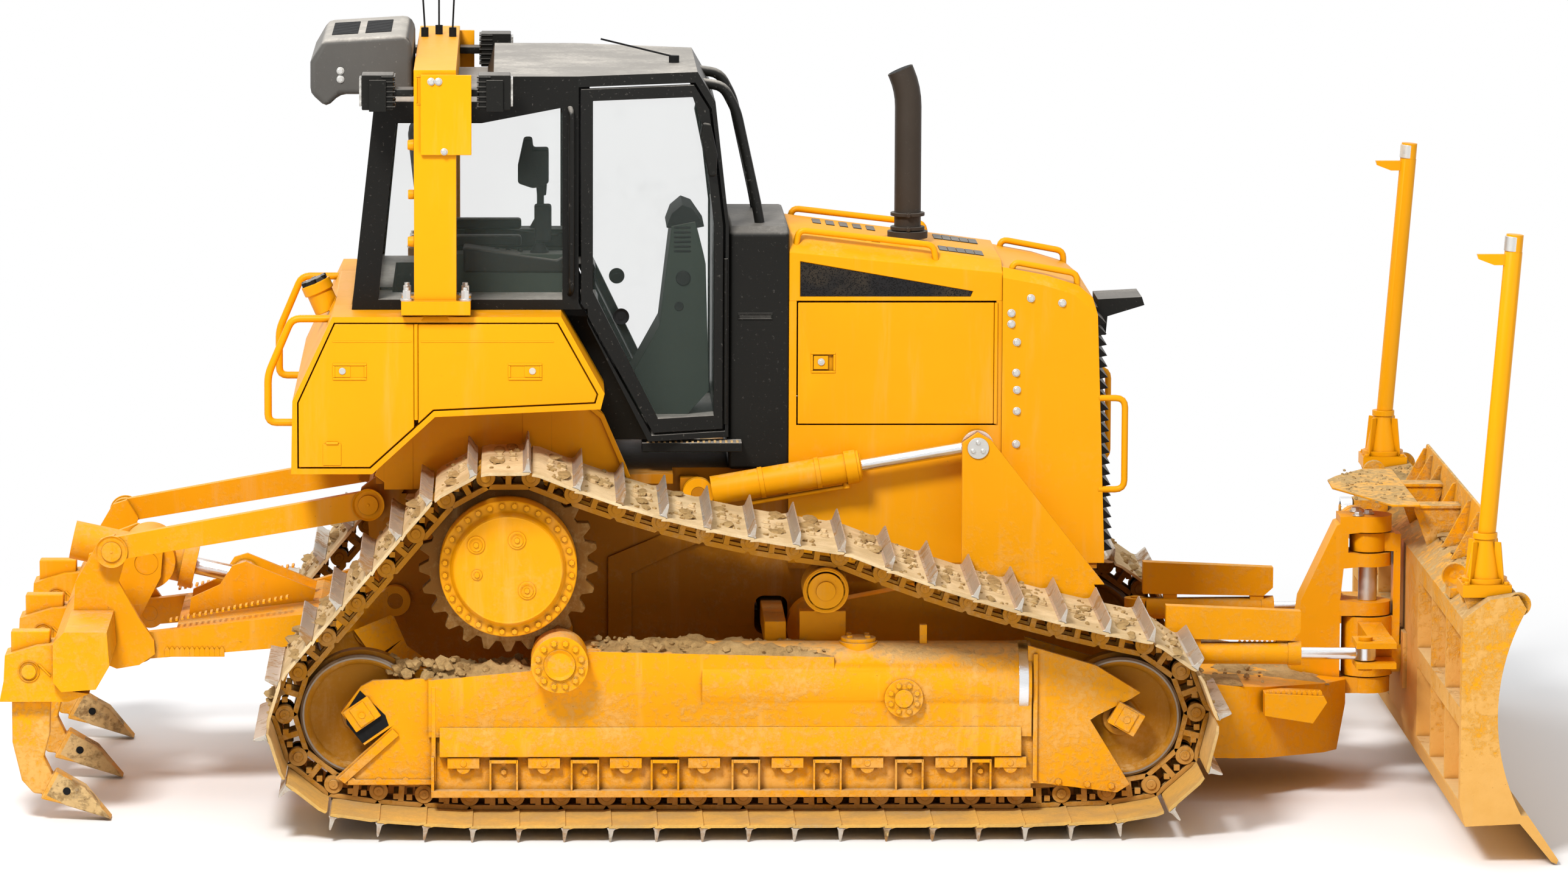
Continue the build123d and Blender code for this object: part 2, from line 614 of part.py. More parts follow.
def cab_frame():
    """Hollow cab: floor tub, walls, posts and roof, with its windows and door openings cut."""
    shell = cab_prism(0) + cab_tub(0)
    shell -= cab_prism(CAB_WALL) + cab_tub(CAB_WALL)
    shell -= opening(DOOR_SIDE, -CAB_DOOR_GAP)
    shell -= opening(SIDE_WINDOW)
    shell -= box((840, 1000), (-430, 430), WINDSHIELD_Z)
    shell -= box((-750, -480), (-640, 640), REAR_WINDOW_Z)
    x, y = CAB_HINGE
    for side in (-1, 1):
        shell += Pos(x, side * y, 1950) * Cylinder(HINGE_R, 700)
    shell += box((-470, 330), (-TUB_HALF + 10, TUB_HALF - 10), (CAB_FLOOR_Z + 10, SEAT_DECK_Z))
    return shell


def cab_skin(outer, inner, side):
    """The layer of one side wall between two depths."""
    half = box((-800, 1200), (CAB_SIDE_INNER, 900), (1400, 3200))
    return on_side((cab_prism(outer) - cab_prism(inner)) & half, side)


def cab_door(side):
    """Door in the slanted front half of the side wall, one glass opening, hinged at its front edge."""
    return (cab_skin(0, CAB_WALL - 10, side) & opening(DOOR_SIDE)) - opening(DOOR_WINDOW)


def cab_door_glass(side):
    return cab_skin(15, 15 + GLASS, side) & opening(DOOR_WINDOW, SEAT)


def cab_glass():
    """Fixed panes: windshield, rear window and the long side windows."""
    pane = cab_prism(20) - cab_prism(20 + GLASS)
    low, high = WINDSHIELD_Z
    front = pane & box((840, 1000), (-430 + SEAT, 430 - SEAT), (low + SEAT, high - SEAT))
    low, high = REAR_WINDOW_Z
    rear = pane & box((-750, -480), (-640 + SEAT, 640 - SEAT), (low + SEAT, high - SEAT))
    side = pane & opening(SIDE_WINDOW, SEAT)
    return Compound(children=[*front.solids(), *rear.solids(), *side.solids()])


def cowl():
    """Black box between the cab and the hood."""
    half = NOSE_HALF
    section = make_face(Polyline((-half, HULL_TOP), (-half, 2400), (50 - half, 2427), (half - 50, 2427),
                                 (half, 2400),
                                 (half, HULL_TOP), close=True))
    plane = Plane(origin=(COWL_X, 0, 0), x_dir=(0, 1, 0), z_dir=(1, 0, 0))
    body = extrude(plane * section, HOOD_X - COWL_X)
    inside = box((COWL_X - 1, HOOD_X - 40), (40 - half, half - 40), (HULL_TOP + 40, 2380))
    return body - inside


def operator_seat():
    deck = SEAT_DECK_Z
    base = box((-330, 60), (-220, 220), (deck, deck + 180))
    cushion = box((-350, 150), (-270, 270), (deck + 180, deck + 320))
    back = plate([(-350, deck + 320), (-440, deck + 980), (-330, deck + 1000), (-210, deck + 320)], 500)
    rest = box((-330, 60), (290, 360), (deck + 430, deck + 480))
    rest += box((-300, -220), (255, 320), (deck + 250, deck + 435))
    return base + cushion + back + rest + mirror(rest, about=Plane.XZ)


def console():
    """Instrument tower at the front and the lever consoles beside the seat."""
    tower = plate([(430, CAB_FLOOR_Z + CAB_WALL), (640, 1980), (690, 2400), (790, 2420), (835, 2240),
                   (850, 1700),
                   (760, CAB_FLOOR_Z + CAB_WALL)], 420)
    left = box((-300, 260), (400, 540), (SEAT_DECK_Z, SEAT_DECK_Z + 420))
    right = box((-300, 260), (-540, -400), (SEAT_DECK_Z, SEAT_DECK_Z + 420))
    lever = bar((120, -470, SEAT_DECK_Z + 420), (140, -470, SEAT_DECK_Z + 560), 14)
    return Compound(children=[tower, left, right + lever])


def air_conditioner():
    body = [(-826, 2990), (-826, 3120), (-770, 3215), (-430, 3236), (-400, 3200),
            (-400, CAB_REAR_ROOF_Z + SEAT),
            (-700, CAB_REAR_ROOF_Z + SEAT), (-760, 2930)]
    return plate(body, 1000)


def cab_guard():
    """Two bent tubes that keep branches off the windshield."""
    top = 2427
    left = tube([(800, 300, 3020), (905, 300, 3005), (960, 300, 2900), (1050, 300, top + 60),
                 (1060, 300, top)], 22, 40)
    return both_sides(left - cab_prism(-SEAT) - box((1000, 1100), (200, 400), (top - 60, top)))


def cab_steps():
    step = plate([(560, 1492), (560, 1530), (980, 1530), (980, 1492)], 120, 540)
    return both_sides(step)


# ================================================================ fenders, tank and roll bar
FENDER_SIDE = [(-897, 1463), (-891, 1766), (-725, FENDER_TOP), (219, FENDER_TOP), (398, 1798), (382, 1733),
               (-188, 1707), (-302, 1701), (-562, 1463)]
REAR_DOOR = [(-865, 1492), (-865, 1760), (-714, 2088), (FENDER_SPLIT_X, 2088), (FENDER_SPLIT_X, 1666),
             (-572, 1492)]
FRONT_DOOR = [(FENDER_SPLIT_X, 2088), (203, 2088), (366, 1795), (356, 1762), (-200, 1737), (-310, 1731),
              (FENDER_SPLIT_X, 1666)]


def fender_block():
    return plate(FENDER_SIDE, FENDER_HALF - FENDER_INNER, (FENDER_HALF + FENDER_INNER) / 2)


def fenders():
    """Boxes over the tracks beside the cab, shallow behind their doors, with the hinge posts."""
    body = fender_block()
    recess = 120          # depth of the space behind each door
    for door in (REAR_DOOR, FRONT_DOOR):
        body -= across(inset_face(outline(door), -GAP), recess * 2, FENDER_HALF)
    for low, high in FENDER_FEET:
        body += box((low, high), (FENDER_INNER, FENDER_INNER + 25), (HULL_TOP - 60, FENDER_TOP - 200))
    split = box((FENDER_SPLIT_X - 45, FENDER_SPLIT_X + 45), (FENDER_HALF - recess - 1, FENDER_HALF - 38),
                (1690, 2100))
    post = box((FENDER_SPLIT_X - 4, FENDER_SPLIT_X + 4), (FENDER_HALF - 40, FENDER_HALF), (1690, 2088))
    post += Pos(FENDER_SPLIT_X, FENDER_HALF, (1690 + 2088) / 2) * Cylinder(HINGE_R, 2088 - 1690)
    return both_sides(body + split + post)


def fender_door(points, side):
    gap = HINGE_R + SEAT
    panel = plate(points, FENDER_SHEET, FENDER_HALF - FENDER_SHEET / 2)
    panel -= box((FENDER_SPLIT_X - gap, FENDER_SPLIT_X + gap), (900, 1100), (1400, 2200))
    return on_side(panel, side)


def rear_tank():
    """Tank across the back of the cab, with its filler neck and cap."""
    body = plate([(-891, 1480), (-891, 1766), (-725, FENDER_TOP), (-655, FENDER_TOP), (-545, 2060),
                  (-545, 1480)],
                 2 * (FENDER_INNER - SEAT))
    neck = bar((-760, -350, 2060), (-800, -350, 2150), 55) + bar((-795, -350, 2139), (-813, -350, 2180), 64)
    return body + neck


def rops_bar():
    """Roll-over bar: two posts on the fenders and a beam over the cab."""
    post_x = (ROPS_X - ROPS_HALF, ROPS_X + ROPS_HALF)
    beam = box(post_x, (-ROPS_Y - 75, ROPS_Y + 75), (ROPS_TOP - 145, ROPS_TOP))
    for side in (-1, 1):
        beam += on_side(box(post_x, (ROPS_Y - 75, ROPS_Y + 75), (2187, ROPS_TOP - 10)), side)
        beam += on_side(box((-440, -155), (ROPS_Y - 150, ROPS_Y + 100), (2130, 2187)), side)
        beam += on_side(Pos(ROPS_X, ROPS_Y - 60, (FENDER_TOP + 2130) / 2) * Cylinder(100, 2130 - FENDER_TOP),
                        side)
        beam += on_side(box((-358, -150), (ROPS_Y + 75, ROPS_Y + 95), (2792, 3121)), side)
    return beam


def work_lights():
    """Flood lights in pairs before and behind the roll bar, each on its own bracket."""
    lamps = []
    # the lamp's ends, the bracket's ends
    for lamp, arm in (((-600, -470), (-480, ROPS_X - ROPS_HALF - SEAT)),
                      ((-120, 10), (ROPS_X + ROPS_HALF + SEAT, -110))):
        light = box(lamp, (ROPS_Y - 75, ROPS_Y + 75), (2975, 3120))
        lamps.append(light + box(arm, (ROPS_Y - 60, ROPS_Y + 60), (3030, 3060)))
    return both_sides(*lamps)


def antennas():
    """Whip antennas on the roll bar and on the roof's front edge."""
    whips = []
    for x, y, lean in ((-360, 520, -25), (-300, 640, 0), (-240, 520, 20)):
        whips.append(Pos(x, y, ROPS_TOP + 20) * Cylinder(16, 40)
                     + bar((x, y, ROPS_TOP + 40), (x + lean, y, ANTENNA_TOP), 4))
    whips.append(Pos(700, -150, CAB_ROOF_Z + 15) * Cylinder(22, 30)
                 + bar((700, -150, CAB_ROOF_Z + 25), (390, -150, CAB_ROOF_Z + 100), 4))
    return Compound(children=whips)


# ================================================================ C-frame and lift
def c_frame():
    """Push arms from the trunnions, the nose box, the lift levers and the kingpin tower."""
    arm = plate([(1240, 640), (1215, 830), (1905, 960), (2460, 940), (2640, 560), (2990, 502), (2990, 189),
                 (2820, 189), (2500, 420), (1900, 560)], ARM_WIDTH, ARM_Y)
    arm += cross_pin(TRUNNION_X, ARM_Y, TRUNNION_Z, 130, ARM_WIDTH)
    arm -= cross_pin(TRUNNION_X, ARM_Y, TRUNNION_Z, TRUNNION_R + RUNNING, ARM_WIDTH + 2)
    x, z = LIFT_FRONT
    lever = plate([(x - 66, 932), (x - 66, z + 20), (x, z + 64), (x + 56, z + 31), (2508, 932)], LEVER_WIDTH,
                  ARM_Y + ARM_WIDTH / 2 - LEVER_WIDTH / 2)
    outer = ARM_Y + ARM_WIDTH / 2
    pin_end = LIFT_Y - LIFT_EYE_WIDTH / 2
    lever += cross_pin(x, (outer + pin_end) / 2, z, LIFT_FRONT_PIN_R, outer - pin_end)
    sides = arm + lever
    k = KINGPIN_X
    plan = make_face(Polyline((2820, -outer), (3050, -outer), (3200, -560), (k - 210, -300), (k - 103, -130),
                              (k - 103, 130), (k - 210, 300), (3200, 560), (3050, outer), (2820,
                                                                                           outer), close=True))
    nose = extrude(plan, 600) & plate([(2820, 502), (3000, 502), (k - 103, 439), (k - 103, 335),
                                       (k - 145, 147),
                                       (3034, 189), (2820, 189)], 2 * outer + 10)
    tower = plate([(k - 343, 428), (k - 294, 776), (k - 144, 1100), (k - 38, 1137), (k - 38, 1069),
                   (k - 94, 1063),
                   (k - 94, 982), (k - 38, 976), (k - 38, 920), (k - 113, 913), (k - 126, 776), (k - 38, 764),
                   (k - 38, 708), (k - 126, 708), (k - 126, 420)], 180)
    for low, high in LUG_HEIGHTS:
        tower += box((k - 130, k), (-90, 90), (low, high))
        tower += Pos(k, 0, (low + high) / 2) * Cylinder(LUG_R, high - low)
    tower += Pos(KINGPIN_X, 0, (372 + 1137) / 2) * Cylinder(KINGPIN_R, 1137 - 372)
    eye = ANGLE_BARREL_R + GAP
    for side in (-1, 1):
        nose += on_side(box((ANGLE_REAR_X - 60, ANGLE_REAR_X + 70), (ARM_Y - 55, ARM_Y + 55),
                            (500, ANGLE_Z - eye)), side)
        nose += Pos(ANGLE_REAR_X, side * ANGLE_REAR_Y, ANGLE_Z) * Cylinder(ANGLE_PIN_R, 2 * eye)
    return nose + tower + sides + mirror(sides, about=Plane.XZ)


# ================================================================ hydraulic cylinders
def barrel(start, end, eye_r, eye_width, radius, rod_r, eye_axis, pin_r):
    """Cylinder body from its rear eye to its gland, bored for the rod; eye_axis is its pin's line."""
    start, end = Vector(*start), Vector(*end)
    along = (end - start).normalized()
    body = bar(start + along * (eye_r - 8), end, radius)
    body += bar(end - along * 55, end, radius + 4)
    eye = Plane(start, z_dir=eye_axis) * Cylinder(eye_r, eye_width)
    body += eye
    body -= bar(start + along * (eye_r + 30), end + along, rod_r + RUNNING)
    return body - Plane(start, z_dir=eye_axis) * Cylinder(pin_r + RUNNING, eye_width + 2)


def rod(eye, start, inner, radius, eye_r, eye_width, eye_axis, hole_r):
    """Piston rod: its eye, and a bar that reaches inner past the gland at start."""
    eye, start = Vector(*eye), Vector(*start)
    along = (start - eye).normalized()
    body = bar(eye + along * (eye_r - 6), start + along * inner, radius)
    body += Plane(eye, z_dir=eye_axis) * Cylinder(eye_r, eye_width)
    return body - Plane(eye, z_dir=eye_axis) * Cylinder(hole_r, eye_width + 2)


def point_on(start, end, distance):
    start, end = Vector(*start), Vector(*end)
    return start + (end - start).normalized() * distance


Y_AXIS = (0, 1, 0)
Z_AXIS = (0, 0, 1)
X_AXIS = (1, 0, 0)


def lift_ends(side):
    return (LIFT_REAR[0], side * LIFT_Y, LIFT_REAR[1]), (LIFT_FRONT[0], side * LIFT_Y, LIFT_FRONT[1])


def lift_barrels():
    parts = []
    for side in (-1, 1):
        rear, front = lift_ends(side)
        gland = point_on(rear, front, LIFT_BARREL_LENGTH)
        parts.append(barrel(rear, gland, 66, LIFT_EYE_WIDTH, LIFT_BARREL_R, LIFT_ROD_R, Y_AXIS, LIFT_PIN_R))
    return Compound(children=parts)


def lift_rods():
    parts = []
    for side in (-1, 1):
        rear, front = lift_ends(side)
        gland = point_on(rear, front, LIFT_BARREL_LENGTH)
        parts.append(rod(front, gland, 240, LIFT_ROD_R, LIFT_EYE_R, LIFT_EYE_WIDTH, Y_AXIS,
                         LIFT_FRONT_PIN_R + 18))
    return Compound(children=parts)


def angle_ends(side):
    return (ANGLE_REAR_X, side * ANGLE_REAR_Y, ANGLE_Z), (ANGLE_EYE_X, side * ANGLE_Y, ANGLE_Z)


def angle_barrel(side):
    """Angle cylinder's body with the flat guard above it."""
    rear, eye = angle_ends(1)
    gland = point_on(rear, eye, ANGLE_BARREL_LENGTH)
    body = barrel(rear, gland, 50, 2 * ANGLE_BARREL_R, ANGLE_BARREL_R, ANGLE_ROD_R, Z_AXIS, ANGLE_PIN_R)
    x, z = ANGLE_REAR_X, ANGLE_Z
    guard = plate([(x + 30, z + 66), (x + 30, z + 206), (x + 600, z + 181), (x + 600, z + 92),
                   (x + 560, z + 56)],
                  60, ANGLE_Y - 20)
    for post in (120, 500):
        guard += box((x + post, x + post + 60), (ANGLE_Y - 45, ANGLE_Y - 5), (z + ANGLE_ROD_R + 8, z + 86))
    return on_side(body + guard, side)


def angle_rod(side):
    rear, eye = angle_ends(side)
    gland = point_on(rear, eye, ANGLE_BARREL_LENGTH)
    return rod(eye, gland, 280, ANGLE_ROD_R, ANGLE_EYE_R, ANGLE_EYE_WIDTH, Z_AXIS, ANGLE_PIN_R)


def tilt_barrel():
    rear, eye = (KINGPIN_X, TILT_REAR_Y, TILT_PIN_Z), (KINGPIN_X, TILT_EYE_Y, TILT_PIN_Z)
    gland = point_on(rear, eye, TILT_BARREL_LENGTH)
    return barrel(rear, gland, 45, 50, TILT_BARREL_R, TILT_ROD_R, X_AXIS, TILT_PIN_R)


def tilt_rod():
    rear, eye = (KINGPIN_X, TILT_REAR_Y, TILT_PIN_Z), (KINGPIN_X, TILT_EYE_Y, TILT_PIN_Z)
    gland = point_on(rear, eye, TILT_BARREL_LENGTH)
    return rod(eye, gland, 200, TILT_ROD_R, 58, 50, X_AXIS, TILT_PIN_R + 14)


# ================================================================ blade
def blade_yoke():
    """Turns on the kingpin: main boss, cross beam to the angle cylinders, spine and upper boss."""
    low, high = YOKE_Z
    beam = (ANGLE_Z - 50, ANGLE_Z + 50)
    body = Pos(KINGPIN_X, 0, (low + high) / 2) * Cylinder(110, high - low)
    body += box((KINGPIN_X - 50, KINGPIN_X + 50), (-520, 520), beam)
    half_gap = ANGLE_EYE_WIDTH / 2 + GAP
    for side in (-1, 1):
        for dz in (-1, 1):
            mid = ANGLE_Z + dz * (half_gap + 12)
            plate_x = (ANGLE_EYE_X - 45, KINGPIN_X + 50)
            body += on_side(box(plate_x, (500, ANGLE_Y + 75), (mid - 12, mid + 12)), side)
            body += Pos(ANGLE_EYE_X, side * ANGLE_Y, mid + dz * 20) * Cylinder(30, 16)
    body += box((KINGPIN_X + LUG_R + GAP, KINGPIN_X + LUG_R + GAP + 30), (-45, 45),
                (high - 150, TILT_PIN_Z + 35))
    body += box((KINGPIN_X + 20, KINGPIN_X + LUG_R + GAP + 5), (-45, 45), (high - 150, high))
    upper = Pos(KINGPIN_X, 0, TILT_PIN_Z) * Cylinder(80, UPPER_BOSS)
    upper += box((KINGPIN_X + 20, KINGPIN_X + LUG_R + GAP + 5), (-45, 45),
                 (TILT_PIN_Z - UPPER_BOSS / 2, TILT_PIN_Z + UPPER_BOSS / 2))
    fork = box((KINGPIN_X - 56, KINGPIN_X - 31), (0, TILT_REAR_Y + 28), (TILT_PIN_Z - 40, TILT_PIN_Z + 40))
    fork += box((KINGPIN_X + 31, KINGPIN_X + 56), (0, TILT_REAR_Y + 28), (TILT_PIN_Z - 40, TILT_PIN_Z + 40))
    fork += Plane(Vector(KINGPIN_X, TILT_REAR_Y, TILT_PIN_Z), z_dir=X_AXIS) * Cylinder(TILT_PIN_R, 100)
    body += upper + fork
    body += bar((KINGPIN_X + 80, 0, TILT_Z), (BLADE_BACK_X - 4, 0, TILT_Z), TILT_TRUNNION_R)
    return body - Pos(KINGPIN_X, 0, 700) * Cylinder(KINGPIN_R + RUNNING, 900)


def blade_board(grow):
    """The blade's whole section from end to end, its top moved up by grow."""
    x, top = BLADE_BACK_X, BLADE_TOP_Z + grow
    back = Polyline((x + 268, 172), (x + 22, 160), (x, 250), (x, top - 97), (x + 110, top - 17),
                    (x + 224, top),
                    (x + 259, BLADE_TOP_Z - 57))
    curve = ThreePointArc((x + 259, BLADE_TOP_Z - 57), (x + 148, 620), (x + 268, 172))
    return across(make_face(Wire([*back.edges(), *curve.edges()])), 2 * BLADE_HALF)


def blade():
    """Curved moldboard on a ribbed back, with end plates, cutting edge and end bits."""
    board = blade_board(0)
    pitch = (2 * BLADE_HALF - 2 * 30 - 40) / BLADE_BAYS
    for i in range(BLADE_BAYS):
        y = -BLADE_HALF + 50 + pitch * i
        if abs(y + pitch / 2) < 260:
            continue
        for low, high in ((260, 560), (640, 930)):
            board -= box((BLADE_BACK_X - 1, BLADE_BACK_X + 105), (y + 12, y + pitch - 12), (low, high))
    board += plate([(BLADE_BACK_X + 250, 205), (BLADE_BACK_X + 278, 205), (EDGE_TIP_X, 22),
                    (EDGE_TIP_X - 6, EDGE_CLEAR),
                    (EDGE_TIP_X - 28, 14), (BLADE_BACK_X + 242, 175)], 2 * BLADE_HALF)
    bearing = box((BLADE_BACK_X - 18, BLADE_BACK_X + 60), (-130, 130), (TILT_Z - 120, TILT_Z + 120))
    board += bearing
    board -= bar((KINGPIN_X, 0, TILT_Z), (BLADE_BACK_X + 30, 0, TILT_Z), TILT_TRUNNION_R + RUNNING)
    bracket = box((KINGPIN_X + 31, BLADE_BACK_X + 20), (TILT_EYE_Y - 60, TILT_EYE_Y + 60),
                  (TILT_PIN_Z - 90, TILT_PIN_Z + 50))
    bracket += Plane(Vector(KINGPIN_X + 10, TILT_EYE_Y, TILT_PIN_Z), z_dir=X_AXIS) * Cylinder(TILT_PIN_R, 80)
    return board + bracket


def blade_masts():
    """Two sensor masts bolted to the blade's back corners: base, ribbed cone, leaning tube and stub."""
    x, top = BLADE_BACK_X, MAST_TOP
    lean = 0.0775         # forward lean for each millimetre of height
    reach = lean * (top - 1300)
    foot = box((x + 9, x + 208), (MAST_Y - 100, MAST_Y + 100), (MAST_FOOT_Z, 1135)) - blade_board(SEAT)
    cone = Pos(x + 108, MAST_Y, (1135 + 1320) / 2) * Cone(80, 42, 1320 - 1135)
    pole = bar((x + 112, MAST_Y, 1300), (x + 112 + reach - lean * 70, MAST_Y, top - 70), 36.5)
    stub = bar((x + 112 + reach - lean * 76, MAST_Y, top - 76), (x + 112 + reach, MAST_Y, top), MAST_STUB_R)
    hook = plate([(x + 180, top - 123), (x + 180, top - 80), (x + 56, top - 80), (x + 62, top - 99),
                  (x + 125, top - 123)], 30, MAST_Y)
    return both_sides(foot + cone + pole + stub + hook)


# ================================================================ ripper
def upper_links():
    """Two flat upper arms of the ripper's parallelogram."""
    (fx, fz), (rx, rz) = UPPER_FRONT, UPPER_REAR
    bow = [(rx, rz - 40), (fx, fz - 58), (fx, fz + 58), (rx, rz + 58)]
    arm = plate(bow, LINK_WIDTH, UPPER_LINK_Y)
    for x, z in (UPPER_FRONT, UPPER_REAR):
        arm += cross_pin(x, UPPER_LINK_Y, z, 62, LINK_WIDTH)
    for x, z in (UPPER_FRONT, UPPER_REAR):
        arm -= cross_pin(x, UPPER_LINK_Y, z, LINK_PIN_R + RUNNING, LINK_WIDTH + 2)
    return both_sides(arm)


def ripper_beam():
    """Lower arms joined by a cross box, with the bracket that holds the ripper cylinder's rod."""
    (fx, fz), (rx, rz) = LOWER_FRONT, LOWER_REAR
    arm = plate([(rx, rz - 50), (-988, 639), (-760, 672), (fx - 20, fz - 60), (fx + 10, fz + 58), (-835, 787),
                 (rx, rz + 62)], LINK_WIDTH, LOWER_ARM_Y)
    for x, z in (LOWER_FRONT, LOWER_REAR):
        arm += cross_pin(x, LOWER_ARM_Y, z, 64, LINK_WIDTH)
    for x, z in (LOWER_FRONT, LOWER_REAR):
        arm -= cross_pin(x, LOWER_ARM_Y, z, LINK_PIN_R + RUNNING, LINK_WIDTH + 2)
    box_section = plate([(-1400, 640), (-1400, 722), (-800, 790), (-720, 770), (-720, 672), (-988, 645)],
                        2 * LOWER_ARM_Y)
    ex, ez = RIPPER_EYE
    ears = plate([(-1364, 700), (-1353, 799), (-1231, 854), (-1176, 937), (-1120, 954), (-822, 832),
                  (-840, 760)],
                 EAR_WIDTH, EAR_Y)
    eye_pin = cross_pin(ex, 0, ez, RIPPER_PIN_R, 2 * EAR_Y + EAR_WIDTH)
    return box_section + arm + mirror(arm, about=Plane.XZ) + ears + mirror(ears, about=Plane.XZ) + eye_pin


def ripper_toolbar():
    """Toolbar with its towers, three shank pockets and the pins that the links turn on."""
    bar_body = plate([(-1883, 600), (-1883, 760), (-1836, 810), (-1660, 810), (-1650, 668), (-1707, 570),
                      (-1850, 560)], 2 * TOOLBAR_HALF)
    ux, uz = UPPER_REAR
    lx, lz = LOWER_REAR
    tower = plate([(ux - 50, uz + 42), (ux + 10, uz + 62), (ux + 60, uz - 18), (-1640, 929), (-1552, 770),
                   (lx + 62, lz + 40), (lx + 66, lz - 20), (lx, lz - 66), (-1650, 560), (-1840, 640), (-1821,
                                                                                                       929)],
                  TOWER_WIDTH, TOWER_Y)
    outer, inner = UPPER_LINK_Y + LINK_WIDTH / 2, LOWER_ARM_Y - LINK_WIDTH / 2
    tower += cross_pin(ux, (TOWER_Y + outer) / 2, uz, LINK_PIN_R, outer - TOWER_Y)
    tower += cross_pin(lx, (TOWER_Y + inner) / 2, lz, LINK_PIN_R, TOWER_Y - inner)
    tx, tz = RIPPER_TRUNNION
    cheek = plate([(-1850, 700), (-1780, 1000), (tx - 60, tz + 110), (tx + 70, tz + 60), (tx + 60, tz - 60),
                   (-1560, 740), (-1655, 700)], 40, CHEEK_Y)
    cheek -= cross_pin(tx, CHEEK_Y, tz, RIPPER_TRUNNION_R + RUNNING, 50)
    body = bar_body + tower + mirror(tower, about=Plane.XZ) + cheek + mirror(cheek, about=Plane.XZ)
    for y in SHANK_YS:
        back = POCKET_BACK_X
        body += plate([(back, 512), (back + 18, 600), (back + 24, 706), (-1952, 745), (-1870, 752),
                       (-1840, 700),
                       (-1840, 560), (-1737, 545), (-1823, 512)], 190, y)
        body -= box((-2062 - SEAT, -1900 + SEAT), (y - SHANK_HALF - SEAT, y + SHANK_HALF + SEAT), (400, 800))
    return body


def ripper_shanks():
    """Curved shanks with their pointed tips, pinned in the pockets."""
    shanks = []
    for y in SHANK_YS:
        leg = plate([(-2062, 800), (-2060, 331), (-2022, 170), (-1974, 116), (-1935, 112), (-1893, 190),
                     (-1930, 267),
                     (-1905, 364), (-1900, 504), (-1900, 800)], 2 * SHANK_HALF, y)
        tip = plate([(-1945, 95), (-1882, 213), (-1758, 137), (-1650, RIPPER_CLEAR), (-1835, 68)],
                    2 * SHANK_HALF + 30, y)
        shanks.append(leg + tip)
    return Compound(children=shanks)


def ripper_barrel():
    """Ripper cylinder's body, carried by its trunnions between the toolbar's cheeks."""
    (tx, tz), (ex, ez) = RIPPER_TRUNNION, RIPPER_EYE
    start, end = Vector(tx, 0, tz), Vector(ex, 0, ez)
    along = (end - start).normalized()
    back, gland = start - along * 330, start + along * 205
    body = bar(back, gland, 82) + bar(gland - along * 60, gland, RIPPER_COLLAR_R)
    body += cross_pin(tx, 0, tz, 120, 2 * (CHEEK_Y - 20 - GAP))
    body += cross_pin(tx, 0, tz, RIPPER_TRUNNION_R, 2 * CHEEK_Y + 30)
    return body - bar(back + along * 40, gland + along, RIPPER_ROD_R + RUNNING)


def ripper_rod():
    (tx, tz), (ex, ez) = RIPPER_TRUNNION, RIPPER_EYE
    start, end = Vector(tx, 0, tz), Vector(ex, 0, ez)
    gland = start + (end - start).normalized() * 205
    eye_width = 2 * EAR_Y - EAR_WIDTH - 2 * GAP
    return rod((ex, 0, ez), (gland.X, gland.Y, gland.Z), 300, RIPPER_ROD_R, 58, eye_width, Y_AXIS,
               RIPPER_PIN_R + 18)


# ================================================================ assembly
NODES = {}


def build():
    for side, name in ((-1, "right"), (1, "left")):
        NODES[f"track_{name}"] = track(side)
        NODES[f"track_frame_{name}"] = track_frame(side)
        NODES[f"engine_side_{name}"] = engine_side(side)
        NODES[f"engine_door_{name}"] = engine_door(side)
        NODES[f"cab_door_{name}"] = cab_door(side)
        NODES[f"cab_door_glass_{name}"] = cab_door_glass(side)
        NODES[f"rear_fender_door_{name}"] = fender_door(REAR_DOOR, side)
        NODES[f"front_fender_door_{name}"] = fender_door(FRONT_DOOR, side)
        NODES[f"angle_barrel_{name}"] = angle_barrel(side)
        NODES[f"angle_rod_{name}"] = angle_rod(side)
    for make in (sprockets, final_drives, idlers, track_rollers, equalizer_bar, main_frame, engine_block,
                 hood,
                 nose_housing, grille, exhaust_stack, handrails, cab_frame, cab_glass, cowl, operator_seat, console,
                 air_conditioner, cab_guard, cab_steps, fenders, rear_tank, rops_bar, work_lights, antennas,
                 c_frame, lift_barrels, lift_rods, tilt_barrel, tilt_rod, blade_yoke, blade, blade_masts,
                 upper_links, ripper_beam, ripper_toolbar, ripper_shanks, ripper_barrel, ripper_rod):
        NODES[make.__name__] = make()
    boxes = [piece.bounding_box() for piece in NODES.values()]
    middle = (min(b.min.X for b in boxes) + max(b.max.X for b in boxes)) / 2
    for name, piece in NODES.items():
        NODES[name] = Pos(-middle, 0, 0) * Compound(children=piece.solids())
    return middle


MIDDLE_X = build()

if __name__ == "__main__":
    os.makedirs("parts", exist_ok=True)
    for name, piece in NODES.items():
        export_step(piece, f"parts/{name}.step")
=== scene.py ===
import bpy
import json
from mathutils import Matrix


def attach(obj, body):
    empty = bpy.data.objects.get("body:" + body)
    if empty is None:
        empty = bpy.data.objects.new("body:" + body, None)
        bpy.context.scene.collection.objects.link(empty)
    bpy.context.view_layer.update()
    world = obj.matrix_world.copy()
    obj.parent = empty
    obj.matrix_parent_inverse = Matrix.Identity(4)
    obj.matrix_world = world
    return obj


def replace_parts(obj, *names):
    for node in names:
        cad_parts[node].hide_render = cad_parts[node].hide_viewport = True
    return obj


bl_info = {
    "name": "Crawler Bulldozer",
    "version": (1, 0, 0),
    "blender": (4, 5, 0),
    "location": "3D View > Sidebar > Bulldozer",
    "description": "Dresses the frame of a crawler bulldozer with its finishes, track chains and small parts",
    "category": "Object",
}

